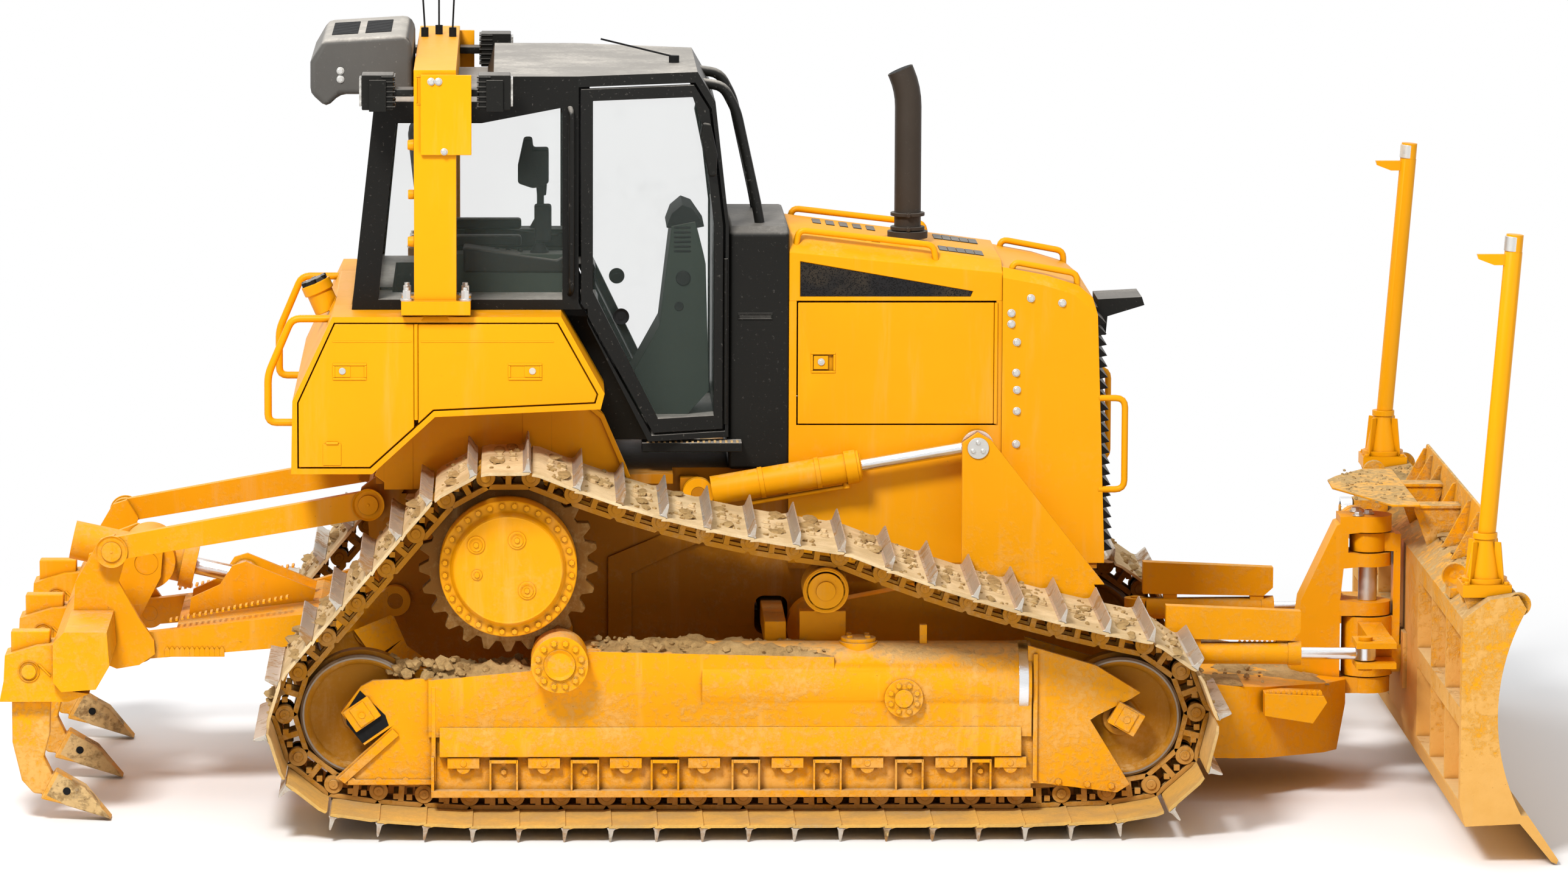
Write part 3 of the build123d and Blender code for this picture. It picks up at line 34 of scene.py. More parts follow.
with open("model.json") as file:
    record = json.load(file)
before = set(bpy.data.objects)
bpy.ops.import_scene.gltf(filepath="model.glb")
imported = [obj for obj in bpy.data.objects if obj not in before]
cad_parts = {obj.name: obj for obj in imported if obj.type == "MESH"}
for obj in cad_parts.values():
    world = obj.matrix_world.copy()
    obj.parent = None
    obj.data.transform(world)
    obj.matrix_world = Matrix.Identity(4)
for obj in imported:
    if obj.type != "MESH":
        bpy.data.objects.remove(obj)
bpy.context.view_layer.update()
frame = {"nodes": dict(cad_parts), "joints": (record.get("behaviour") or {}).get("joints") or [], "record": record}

import json
import math
from random import Random

import bmesh
import bpy
from bpy.props import FloatProperty, FloatVectorProperty, IntProperty, PointerProperty
from mathutils import Matrix, Vector, noise

JOINTS = {joint["name"]: joint for joint in frame["joints"]}
SIDES = (("right", -1), ("left", 1))
UP, ACROSS, FORWARD = Vector((0, 0, 1)), Vector((0, 1, 0)), Vector((1, 0, 0))
# Lengths along the machine are counted from the sprocket's axle, which lies this far behind the
# C-frame's pivot.
AXLE_TO_PIVOT = 1.300
AXLE_X = JOINTS["blade_lift"]["pos_m"][0] - AXLE_TO_PIVOT


def at(x, y, z):
    """A point given from the sprocket's axle, the machine's middle and the ground."""
    return Vector((AXLE_X + x, y, z))


# ================================================================ sizes and colours
def metres(name, description, default):
    return FloatProperty(name=name, description=description, default=default, min=0.0,
                         subtype="DISTANCE", unit="LENGTH")


def colour(name, description, default):
    return FloatVectorProperty(name=name, description=description, default=default, size=3, min=0.0, max=1.0,
                               subtype="COLOR")


class TrackSizes(bpy.types.PropertyGroup):
    shoes: IntProperty(name="Shoes", description="Number of shoes in each track", default=46, min=20, max=80)
    shoe_thickness: metres("Shoe thickness", "Thickness of a shoe's plate", 0.013)
    grouser: metres("Grouser height", "Height of the bar on each shoe", 0.058)
    link_outer: metres("Link top", "From the pins' centres to the shoes", 0.057)
    link_inner: metres("Link rail", "From the pins' centres to the running face", 0.050)
    rail_gap: metres("Rail gap", "Clear width between a chain's rails", 0.090)
    rail_width: metres("Rail width", "Thickness of a chain's rail", 0.040)
    boss: metres("Pin boss", "Radius of the boss round each pin", 0.039)


class TrimSizes(bpy.types.PropertyGroup):
    plate_edge: metres("Plate edge", "Rounding on the edges of thick plates", 0.005)
    bolt: metres("Bolt", "Radius of a bolt's head", 0.013)


class PaintColours(bpy.types.PropertyGroup):
    paint: colour("Paint", "Golden yellow paint", (0.84, 0.345, 0.001))
    black: colour("Black", "Black paint of the cab", (0.0075, 0.0072, 0.006))
    cover: colour("Covers", "Dark moulded covers", (0.0080, 0.0075, 0.006))
    mud: colour("Mud", "Dried mud", (0.58, 0.37, 0.15))
    dust: colour("Dust", "Pale dust", (0.72, 0.49, 0.22))
    steel: colour("Steel", "Bare worn steel", (0.56, 0.50, 0.42))
    rust: colour("Rust", "Rusty steel", (0.22, 0.095, 0.022))
    stack: colour("Stack", "Heat-browned steel of the exhaust", (0.040, 0.030, 0.022))


def sizes():
    return bpy.context.scene.bulldozer_track


def trim():
    return bpy.context.scene.bulldozer_trim


def colours():
    return bpy.context.scene.bulldozer_paint


# ================================================================ shader kit
class Value:
    """A shader socket; arithmetic on it adds Math nodes to its tree."""

    def __init__(self, tree, socket):
        self.tree, self.socket = tree, socket

    def math(self, operation, *values):
        node = self.tree.nodes.new("ShaderNodeMath")
        node.operation = operation
        for slot, value in zip(node.inputs, values):
            join(self.tree, slot, value)
        return Value(self.tree, node.outputs[0])

    def __add__(self, other):
        return self.math("ADD", self, other)

    __radd__ = __add__

    def __sub__(self, other):
        return self.math("SUBTRACT", self, other)

    def __rsub__(self, other):
        return self.math("SUBTRACT", other, self)

    def __mul__(self, other):
        return self.math("MULTIPLY", self, other)

    __rmul__ = __mul__

    def larger(self, other):
        return self.math("MAXIMUM", self, other)

    def clamped(self):
        return self.math("MINIMUM", self.math("MAXIMUM", self, 0.0), 1.0)


def join(tree, slot, value):
    """Feed a socket from another socket or set it to a number or colour."""
    if isinstance(value, Value):
        tree.links.new(value.socket, slot)
    elif slot.type == "RGBA" and len(value) == 3:
        slot.default_value = (*value, 1.0)
    else:
        slot.default_value = value


def plain_view(tree):
    """1 for rays that should find the backdrop plain white: the camera's, mirrored and through glass."""
    ray = tree.nodes.new("ShaderNodeLightPath")
    seen = Value(tree, ray.outputs["Is Camera Ray"]).larger(Value(tree, ray.outputs["Is Glossy Ray"]))
    return seen.larger(Value(tree, ray.outputs["Is Transmission Ray"]))


class Finish:
    """One material under construction, with the patterns that all the finishes share."""

    def __init__(self, name):
        self.material = bpy.data.materials.new(name)
        self.material.use_nodes = True
        self.tree = self.material.node_tree
        self.shader = next(n for n in self.tree.nodes if n.type == "BSDF_PRINCIPLED")
        self.place = self.node("TexCoord", output="Object")
        axes = self.node("SeparateXYZ", {}, {0: self.place}, output=None)
        self.height = Value(self.tree, axes.outputs[2])
        facing = self.node("SeparateXYZ", {}, {0: self.node("NewGeometry", output="Normal")}, output=None)
        self.up = Value(self.tree, facing.outputs[2])

    def node(self, kind, settings=None, values=None, output=0):
        node = self.tree.nodes.new("ShaderNode" + kind)
        for name, value in (settings or {}).items():
            setattr(node, name, value)
        for slot, value in (values or {}).items():
            join(self.tree, node.inputs[slot], value)
        return node if output is None else Value(self.tree, node.outputs[output])

    def noise(self, scale, detail=4.0, roughness=0.55, stretch=(1, 1, 1), shift=0.0):
        place = self.node("Mapping", {}, {"Vector": self.place, "Scale": stretch, "Location": (shift,) * 3})
        return self.node("TexNoise", {}, {"Vector": place, "Scale": scale, "Detail": detail,
                                          "Roughness": roughness})

    def cells(self, scale, feature="F1", output="Distance"):
        return self.node("TexVoronoi", {"feature": feature}, {"Vector": self.place, "Scale": scale}, output)

    def rise(self, value, low, high):
        """0 below low, 1 above high and smooth between."""
        return self.node("MapRange", {"interpolation_type": "SMOOTHSTEP"},
                         {"Value": value, "From Min": low, "From Max": high})

    def blend(self, mask, first, second):
        return self.node("Mix", {"data_type": "RGBA"}, {0: mask, 6: first, 7: second}, output=2)

    def tint(self, base, value):
        """A colour made lighter or darker by a number."""
        return self.node("VectorMath", {"operation": "SCALE"}, {0: base, 3: value})

    def done(self, base, roughness, metallic=0.0, height=None, relief=0.002, gloss=0.5):
        join(self.tree, self.shader.inputs["Base Color"], base)
        join(self.tree, self.shader.inputs["Roughness"], roughness)
        join(self.tree, self.shader.inputs["Metallic"], metallic)
        self.shader.inputs["Specular IOR Level"].default_value = gloss
        if height is not None:
            bump = self.node("Bump", {}, {"Height": height, "Distance": relief, "Strength": 1.0})
            join(self.tree, self.shader.inputs["Normal"], bump)
        return self.material


def paint(name, base, dust=0.4, mud=0.0, mud_top=1.2, wear=0.3, dull=0.38, streaks=0.25):
    """Machine paint: faded and streaked, dusty on top, muddy low down, with painted shade in its corners, chipped.
    """
    f, c = Finish(name), colours()
    patches = f.noise(1.3, 3.0) * 0.22 + 0.89
    shade = f.tint(base, patches)
    runs = f.rise(f.noise(9.0, 5.0, 0.65, (1.0, 1.0, 0.10)), 0.52, 0.78) * streaks
    shade = f.blend(runs * 0.55, shade, c.dust)
    fine = f.noise(38.0, 6.0, 0.7)
    broad = f.noise(4.5, 6.0, 0.62, shift=3.1)
    top = f.rise(f.up, 0.35, 0.92)
    settled_dust = f.rise(broad * 0.6 + fine * 0.4 + top * 0.22 * dust, 0.60 - 0.10 * dust, 0.78)
    dusty = settled_dust * (top * 0.75 + 0.16) * dust
    shade = f.blend(dusty.clamped(), shade, c.dust)
    splash = f.rise(broad * 0.45 + fine * 0.55 + (mud_top - f.height) * 0.20 * mud, 0.50, 0.66) * mud
    splash = (splash * f.rise(mud_top + 0.35 - f.height, 0.0, 0.5) * (0.55 + 0.45 * top)).clamped()
    earth = f.blend(f.noise(16.0, 4.0), c.mud, c.dust)
    shade = f.blend(splash, shade, earth)
    # painted shade: the paint is darkened where ambient occlusion finds corners and crevices
    corners = f.node("AmbientOcclusion", {"samples": 6}, {"Distance": 0.040}, "AO")
    painted_corner_shade = f.rise(1.0 - corners, 0.20, 0.70) * 0.70
    shade = f.blend(painted_corner_shade, shade, f.tint(base, 0.16))
    flakes = f.rise(f.noise(70.0, 3.0, 0.6, shift=7.7), 0.715, 0.735)
    chips = (flakes * f.rise(f.noise(3.0, 2.0, shift=1.3), 0.5, 0.62) * wear).clamped()
    shade = f.blend(chips, shade, c.rust)
    rough = (dull + dusty * 0.45 + splash * 0.5 + fine * 0.10).clamped()
    relief = splash * (fine * 0.9 + 0.3) - chips * 0.25 + f.noise(240.0, 2.0) * 0.03
    return f.done(shade, rough, height=relief, relief=0.006, gloss=0.14)


def dried_mud(name):
    """Crumbly dry soil, a little darker in its hollows."""
    f, c = Finish(name), colours()
    lumps, grit = f.noise(30.0, 8.0, 0.72), f.noise(150.0, 5.0, 0.75)
    earth = f.blend(f.rise(lumps, 0.30, 0.62), f.tint(c.mud, 0.62), c.mud)
    earth = f.blend(f.rise(f.noise(6.0, 5.0), 0.42, 0.64), earth, f.blend(0.55, earth, c.dust))
    earth = f.tint(earth, grit * 0.5 + 0.75)
    return f.done(earth, 0.97, height=lumps + grit * 0.5, relief=0.014, gloss=0.1)


def dusty_shoe(name):
    """Shoe plates under a thick coat of dry dust, ochre low down and rubbed to steel in places."""
    f, c = Finish(name), colours()
    broad, fine = f.noise(5.0, 6.0, 0.6), f.noise(60.0, 6.0, 0.72)
    coat = f.blend(f.rise(f.height, 0.15, 0.75), (0.74, 0.43, 0.10), (0.74, 0.55, 0.31))
    coat = f.blend(f.rise(broad, 0.36, 0.62) * 0.55, coat, f.tint(c.mud, 0.80))
    rubbed = (f.rise(fine * 0.5 + broad * 0.5, 0.56, 0.66) * 0.55).clamped()
    shade = f.blend(rubbed, coat, (0.42, 0.33, 0.22))
    shade = f.tint(shade, fine * 0.45 + 0.78)
    return f.done(shade, 0.85, height=fine + broad * 0.4, relief=0.006, gloss=0.15)


def worn_steel(name, bare=0.5, mud=0.6, tone=1.0):
    """Ground steel: polished where the soil rubs, rust-brown and muddy elsewhere."""
    f, c = Finish(name), colours()
    broad, fine = f.noise(5.0, 6.0, 0.6), f.noise(45.0, 6.0, 0.7)
    scratches = f.noise(30.0, 3.0, 0.6, (0.15, 3.0, 3.0))
    steel = f.blend(scratches, f.tint(c.steel, 0.82 * tone), c.steel)
    rusty = f.blend(fine, c.rust, f.blend(0.45, c.rust, c.mud))
    bright = f.rise(broad * 0.7 + fine * 0.3, 0.62 - 0.25 * bare, 0.70 - 0.18 * bare)
    shade = f.blend(bright, rusty, steel)
    cake = f.noise(11.0, 7.0, 0.65, shift=5.0) * 0.7 + fine * 0.3
    caked = f.rise(cake, 0.64 - 0.22 * mud, 0.70 - 0.14 * mud)
    shade = f.blend(caked, shade, f.blend(fine, c.mud, c.dust))
    metal = (bright * (1.0 - caked) * 0.75).clamped()
    rough = (0.42 + caked * 0.5 + (1.0 - bright) * 0.3 + scratches * 0.1).clamped()
    return f.done(shade, rough, metal, caked * (fine + 0.6) + fine * 0.15, 0.007, 0.3)


def moulded(name, base, dust=0.35, rough=0.55, grain=0.10):
    """Dark moulded cover or satin paint with a grain and a pale film on its tops: settled dust, which on the cab's
    black paint is also a painted sky reflection.
    """
    f = Finish(name)
    fine, broad = f.noise(60.0, 5.0, 0.7), f.noise(3.5, 6.0, 0.6)
    top = f.rise(f.up, 0.3, 0.95)
    shade = f.tint(base, broad * 0.5 + 0.75)
    film = ((f.rise(broad * 0.6 + fine * 0.4, 0.42, 0.70) * 0.5 + 0.5) * top * dust
            + f.rise(fine, 0.60, 0.72) * 0.18 * dust).clamped()
    grey = (0.62, 0.57, 0.50)
    shade = f.blend(film, shade, grey)
    relief = f.noise(420.0, 2.0) * grain + fine * 0.05
    return f.done(shade, (rough + film * 0.3).clamped(), height=relief, relief=0.002, gloss=0.16)


def bright_metal(name, base, rough=0.16, brushed=0.12):
    """Plated or rubbed metal: brushed, and dulled where dust smears it."""
    f = Finish(name)
    lines = f.noise(160.0, 3.0, 0.6, (0.2, 4.0, 4.0))
    smear = f.rise(f.noise(8.0, 5.0), 0.55, 0.75)
    shade = f.blend(smear * 0.35, f.tint(base, lines * 0.25 + 0.86), colours().dust)
    return f.done(shade, (rough + lines * brushed + smear * 0.25).clamped(), 1.0 - smear * 0.4, lines, 0.0004)


def clear_glass(name, tint):
    """Thin tinted glass: see-through, with a film of dust and real reflections."""
    f = Finish(name)
    film = f.rise(f.noise(2.2, 6.0, 0.65), 0.52, 0.82) * 0.06 + 0.055
    f.done(tint, 0.04)
    f.shader.inputs["IOR"].default_value = 1.45
    join(f.tree, f.shader.inputs["Alpha"], film)
    f.material.surface_render_method = "BLENDED"
    return f.material


def flat_black(name):
    """Near-black paint with no shine."""
    f = Finish(name)
    fine = f.noise(50.0, 4.0)
    return f.done(f.tint((0.012, 0.012, 0.012), fine * 0.6 + 0.7), 0.6, height=fine, relief=0.001, gloss=0.06)


def wire_mesh(name):
    """Black perforated sheet: rows of small round holes in satin paint."""
    f = Finish(name)
    holes = f.rise(f.cells(150.0), 0.30, 0.42)
    dusty = f.rise(f.noise(5.0, 5.0), 0.45, 0.75) * 0.12
    shade = f.blend(holes, (0.002, 0.002, 0.002), f.blend(dusty * 0.3, (0.009, 0.008, 0.008), colours().dust))
    return f.done(shade, 0.55, height=holes, relief=0.003, gloss=0.2)


def woven(name, base):
    """Seat cloth: a fine weave with a soft sheen."""
    f = Finish(name)
    threads = f.node("TexWave", {"bands_direction": "X"}, {"Vector": f.place, "Scale": 260.0}, "Fac")
    across = f.node("TexWave", {"bands_direction": "Z"}, {"Vector": f.place, "Scale": 260.0}, "Fac")
    weave = threads.larger(across)
    f.shader.inputs["Sheen Weight"].default_value = 0.3
    return f.done(f.tint(base, weave * 0.4 + 0.7), 0.9, height=weave, relief=0.001)


def lamp_lens(name):
    """Ribbed lamp glass."""
    f = Finish(name)
    ribs = f.cells(55.0)
    return f.done(f.blend(ribs * 1.2, (0.75, 0.72, 0.66), (0.35, 0.33, 0.30)), 0.12, 0.4, ribs, 0.004)


FINISHES = {}


def finish(name):
    """A finish by name, made when it is first asked for."""
    if name not in FINISHES:
        c = colours()
        drive = tuple(value * 0.92 for value in c.paint)
        makers = {
            # colour, dust, mud, height that the mud reaches, chips, roughness and streaks
            "body_paint": (paint, c.paint, 0.40, 0.10, 1.5, 0.25),
            "clean_paint": (paint, c.paint, 0.20, 0.0, 1.0, 0.15, 0.33, 0.10),
            "low_paint": (paint, c.paint, 0.90, 0.66, 0.85, 0.7, 0.45, 0.75),
            # the yellow paint darkened to brown-orange for the hull: painted shade for its place under the tracks
            "hull_paint": (paint, (0.46, 0.165, 0.001), 0.5, 0.45, 1.0, 0.5, 0.5, 0.4),
            "blade_paint": (paint, c.paint, 0.95, 0.95, 1.45, 0.8, 0.5, 0.8),
            "ripper_paint": (paint, c.paint, 0.55, 0.40, 1.1, 0.5, 0.45, 0.5),
            "arm_paint": (paint, c.paint, 0.5, 0.35, 1.1, 0.4, 0.42, 0.4),
            "drive_paint": (paint, drive, 0.4, 0.2, 1.2, 0.4, 0.42, 0.4),
            "shank_paint": (paint, c.paint, 0.6, 0.9, 0.7, 0.6, 0.5, 0.6),
            "idler_steel": (paint, (0.40, 0.165, 0.006), 0.4, 0.3, 1.0, 0.6, 0.5, 0.6),
            "sprocket_steel": (paint, (0.24, 0.11, 0.020), 0.6, 0.6, 1.4, 0.8, 0.6, 0.9),
            "chain_steel": (paint, (0.50, 0.215, 0.012), 0.5, 0.6, 1.3, 0.8, 0.6, 0.6),
            # colour, dust, roughness and grain
            # the cab's strong pale film on its tops is partly real dust and partly a painted sky reflection on the
            # roof
            "black_paint": (moulded, c.black, 0.80, 0.38),
            "roof": (moulded, (0.085, 0.080, 0.072), 1.0, 0.55),
            "cover": (moulded, c.cover, 0.40, 0.45),
            "rubber": (moulded, (0.018, 0.018, 0.017), 0.5, 0.75, 0.2),
            "cab_trim": (moulded, (0.026, 0.036, 0.027), 0.20, 0.6),
            "stack": (moulded, c.stack, 0.15, 0.55),
            # share rubbed bare, mud and tone
            "grouser_steel": (worn_steel, 0.95, 0.30),
            "tip_steel": (worn_steel, 0.50, 1.35, 1.30),
            # colour, roughness and brushing
            "rim_steel": (bright_metal, (0.30, 0.25, 0.20), 0.45, 0.2),
            "chrome": (bright_metal, (0.82, 0.82, 0.83), 0.10, 0.08),
            "zinc": (bright_metal, (0.62, 0.61, 0.58), 0.35, 0.2),
            # finishes of one use each
            "mesh": (wire_mesh,),
            "mud": (dried_mud,),
            "shoe_steel": (dusty_shoe,),
            "deep_black": (flat_black,),
            "glass": (clear_glass, (0.20, 0.25, 0.22)),
            "cloth": (woven, (0.035, 0.037, 0.040)),
            "lens": (lamp_lens,),
        }
        maker, *settings = makers[name]
        FINISHES[name] = maker(name, *settings)
    return FINISHES[name]


# ================================================================ shape kit
def add_box(bm, low, high):
    """A block between two corners; returns its vertices."""
    low, high = Vector(low), Vector(high)
    made = bmesh.ops.create_cube(bm, size=1.0)["verts"]
    bmesh.ops.scale(bm, vec=high - low, verts=made)
    bmesh.ops.translate(bm, vec=(low + high) / 2, verts=made)
    return made


def add_disc(bm, centre, axis, radius, depth, segments=24, top=None):
    """A round piece from centre along axis; top is its far radius when it tapers."""
    axis = Vector(axis).normalized()
    turn = axis.to_track_quat("Z", "Y").to_matrix().to_4x4()
    place = Matrix.Translation(Vector(centre) + axis * depth / 2) @ turn
    return bmesh.ops.create_cone(bm, cap_ends=True, segments=segments, radius1=radius,
                                 radius2=radius if top is None else top, depth=depth, matrix=place)["verts"]


def add_bolt(bm, centre, axis, radius=None):
    """A hexagon head on its washer."""
    radius = radius or trim().bolt
    axis = Vector(axis).normalized()
    add_disc(bm, centre, axis, radius * 1.25, radius * 0.25, 14)
    add_disc(bm, Vector(centre) + axis * radius * 0.2, axis, radius, radius * 0.75, 6, radius * 0.92)


def add_ring(bm, centre, axis, outer, inner, depth, segments=32):
    """A flat ring: a disc whose face is inset and pushed back to its far side."""
    verts = add_disc(bm, centre, axis, outer, depth, segments)
    axis = Vector(axis).normalized()
    caps = [face for face in {f for v in verts for f in v.link_faces}
            if len(face.verts) == segments and face.normal.dot(axis) > 0.9]
    bmesh.ops.inset_region(bm, faces=caps, thickness=outer - inner, use_even_offset=True)
    bmesh.ops.translate(bm, vec=-axis * depth * 0.8, verts=list({v for face in caps for v in face.verts}))


def pull_out(bm, faces, reach):
    """Extrude faces by a vector."""
    made = bmesh.ops.extrude_face_region(bm, geom=faces)["geom"]
    bmesh.ops.translate(bm, vec=reach, verts=[item for item in made if isinstance(item, bmesh.types.BMVert)])


def add_slab(bm, corners, reach):
    """The face through some corners, extruded by a vector."""
    pull_out(bm, [bm.faces.new([bm.verts.new(corner) for corner in corners])], reach)


def add_plate(bm, outline, y0, y1, side=1):
    """A plate from (x, z) corners given from the axle, between two distances out to a side."""
    add_slab(bm, [at(x, side * y0, z) for x, z in outline], (0, side * (y1 - y0), 0))


def add_block(bm, x, y, z, side=1, turn=0.0):
    """A block from its ranges along, across and up, mirrored to a side and leant nose up by turn."""
    a, b = at(x[0], side * y[0], z[0]), at(x[1], side * y[1], z[1])
    size = [abs(v) for v in b - a]
    place = Matrix.Translation((a + b) / 2) @ Matrix.Rotation(-turn, 4, "Y") @ Matrix.Diagonal((*size, 1.0))
    return bmesh.ops.create_cube(bm, size=1.0, matrix=place)["verts"]


def add_block_at(bm, middle, size):
    """A level block about its middle."""
    place = Matrix.Translation(middle) @ Matrix.Diagonal((*size, 1.0))
    return bmesh.ops.create_cube(bm, size=1.0, matrix=place)["verts"]


def add_rail(bm, outline, x0, x1, side):
    """A bar along the machine from its (y, z) section."""
    add_slab(bm, [at(x0, side * y, z) for y, z in outline], (x1 - x0, 0, 0))


def around(centre, radius, count, first=0.5, rise=UP):
    """Points spaced evenly on a circle along the machine; first is where they start, in steps.

    The circle stands upright, or lies level when rise is ACROSS."""
    turns = [2 * math.pi * (k + first) / count for k in range(count)]
    return [centre + radius * math.cos(turn) * FORWARD + radius * math.sin(turn) * rise for turn in turns]


def add_frame(bm, x, z, width, y, side):
    """A flat rectangular frame of four bars round a dish."""
    (x0, x1), (z0, z1) = x, z
    add_block(bm, (x0, x1), y, (z0, z0 + width), side)
    add_block(bm, (x0, x1), y, (z1 - width, z1), side)
    add_block(bm, (x0, x0 + width), y, (z0 + width, z1 - width), side)
    add_block(bm, (x1 - width, x1), y, (z0 + width, z1 - width), side)


def shape(build):
    """Hands a method an empty bmesh to fill, and gives back the filled one."""
    def filled(self, *given):
        bm = bmesh.new()
        build(self, bm, *given)
        return bm
    return filled


def laid_out(name, mesh, finish_name):
    """A new object of one finish, in the scene."""
    thing = bpy.data.objects.new(name, mesh)
    bpy.context.scene.collection.objects.link(thing)
    wear(mesh, finish_name)
    return thing


def wear(mesh, finish_name):
    """Give a mesh one finish in place of any it has."""
    mesh.materials.clear()
    mesh.materials.append(finish(finish_name))


def mesh_of(name, bm):
    """Empty a bmesh into a new mesh."""
    mesh = bpy.data.meshes.new(name)
    bm.to_mesh(mesh)
    bm.free()
    return mesh


def piece(name, bm, finish_name, body, edge=0.0, sharp=35):
    """Turn a finished bmesh into an object that rides on a body."""
    bmesh.ops.recalc_face_normals(bm, faces=bm.faces)
    thing = laid_out(name, mesh_of(name, bm), finish_name)
    thing.data.shade_smooth()
    thing.data.set_sharp_from_angle(angle=math.radians(sharp))
    if edge:
        round_edges(thing, edge)
    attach(thing, body)
    return thing


def pieces(rows, name=None, side=None):
    """Pieces from rows of name, shape, finish, rounding and, off the chassis, the body they ride on.

    Given a side's name and sign, they are that side's pieces."""
    for title, shape_of, finish_name, edge, *body in rows:
        title, given = (f"{title}_{name}", (side,)) if name else (title, ())
        piece(title, shape_of(*given), finish_name, *(body or ["chassis"]), edge)


def round_edges(thing, width):
    """Round every edge that turns by more than 32 degrees."""
    bevel = thing.modifiers.new("rounded edges", "BEVEL")
    bevel.width = width
    bevel.segments = 2
    bevel.limit_method = "ANGLE"
    bevel.angle_limit = math.radians(32)
    bevel.harden_normals = True


def body_of(node):
    """The body that a CAD node moves with."""
    groups = frame["record"]["behaviour"]["bodies"]
    return next(body for body, nodes in groups.items() if node in nodes)


def soften(node, finish_name, edge=None):
    """The node's own shape with rounded edges, standing for it."""
    bm = bmesh.new()
    bm.from_mesh(frame["nodes"][node].data)
    bmesh.ops.remove_doubles(bm, verts=bm.verts, dist=0.0001)
    bmesh.ops.dissolve_limit(bm, angle_limit=math.radians(0.6), verts=bm.verts, edges=bm.edges)
    made = piece("soft_" + node, bm, finish_name, body_of(node), edge or trim().plate_edge)
    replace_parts(made, node)
    return made


def dress(node, finish_name):
    """Give a CAD node, kept as it is, a finish."""
    wear(frame["nodes"][node].data, finish_name)


def add_tube(name, points, radius, finish_name, body, bend=0.03):
    """A round rail through points given from the axle, its corners rounded, as one mesh."""
    curve = bpy.data.curves.new(name, "CURVE")
    curve.dimensions = "3D"
    curve.bevel_depth = radius
    curve.bevel_resolution = 4
    curve.use_fill_caps = True
    spline = curve.splines.new("POLY")
    places = [at(*point) for point in points]
    path = [places[0]]
    for before, here, after in zip(places, places[1:], places[2:]):
        back, on = (before - here).normalized(), (after - here).normalized()
        start, end = here + back * bend, here + on * bend
        for step in range(5):
            t = step / 4
            path.append(start * (1 - t) ** 2 + here * 2 * t * (1 - t) + end * t ** 2)
    path.append(places[-1])
    spline.points.add(len(path) - 1)
    for spot, point in zip(spline.points, path):
        spot.co = (*point, 1.0)
    holder = bpy.data.objects.new(name, curve)
    mesh = bpy.data.meshes.new_from_object(holder)
    bpy.data.objects.remove(holder)
    thing = laid_out(name, mesh, finish_name)
    mesh.shade_smooth()
    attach(thing, body)
    return thing


def add_clump(bm, centre, size, seed, flat=0.6, fine=2):
    """A lump of earth: a small sphere squashed and roughened."""
    for vert in bmesh.ops.create_icosphere(bm, subdivisions=fine, radius=1.0)["verts"]:
        spot = vert.co * 1.3 + Vector((seed, seed * 0.7, 0))
        vert.co *= 1.0 + 0.55 * noise.noise(spot) + 0.30 * noise.noise(spot * 3.1)
        x, y, z = vert.co
        vert.co = Vector(centre) + Vector((x * size[0], y * size[1], z * size[2] * flat))


def add_crumbs(bm, chance, place, count, small, large):
    """Loose crumbs of soil; place gives a point for each."""
    for _ in range(count):
        size = chance.uniform(small, large)
        add_clump(bm, place(), (size, size * chance.uniform(0.8, 1.3), size), chance.uniform(0.0, 90.0),
                  0.8, 1)


SOIL_GRID = 0.014         # side of a face in a layer of soil


def add_soil_bed(bm, across_y, along, height, thick, seed):
    """A closed layer of soil: a grid draped over height(x), roughened and given a thickness."""
    (y0, y1), (x0, x1) = across_y, along
    verts = bmesh.ops.create_grid(bm, x_segments=int((x1 - x0) / SOIL_GRID),
                                  y_segments=int(abs(y1 - y0) / SOIL_GRID), size=0.5)["verts"]
    faces = list({face for vert in verts for face in vert.link_faces})
    for vert in verts:
        x, y = x0 + (vert.co.x + 0.5) * (x1 - x0), y0 + (vert.co.y + 0.5) * (y1 - y0)
        edge = min(1.0, 6.0 * (0.5 - abs(vert.co.x)), 6.0 * (0.5 - abs(vert.co.y)))
        spot = Vector((x, y, seed))
        rough = 0.6 + 0.9 * noise.noise(spot * 7.0) + 0.5 * noise.noise(spot * 19.0)
        rough += 0.3 * noise.noise(spot * 47.0)
        vert.co = at(x, y, height(x) + thick * max(0.0, rough) * max(0.0, edge) - 0.002)
    pull_out(bm, faces, (0, 0, -0.004))


def add_spun(bm, centre, profile, steps=72):
    """A turned ring on an axis across the machine, from a closed loop of (radius, across) corners."""
    verts = [bm.verts.new(centre + Vector((radius, y, 0))) for radius, y in profile]
    edges = [bm.edges.new((vert, verts[i - 1])) for i, vert in enumerate(verts)]
    bmesh.ops.spin(bm, geom=verts + edges, cent=centre, axis=ACROSS, dvec=(0, 0, 0), angle=2 * math.pi,
                   space=Matrix(), steps=steps, use_merge=True, use_normal_flip=False, use_duplicate=False)


def settled(thing):
    """Put what the modifiers make of a piece in the place of its mesh."""
    shaped = bpy.data.meshes.new_from_object(thing.evaluated_get(bpy.context.evaluated_depsgraph_get()))
    thing.modifiers.clear()
    thing.data = shaped


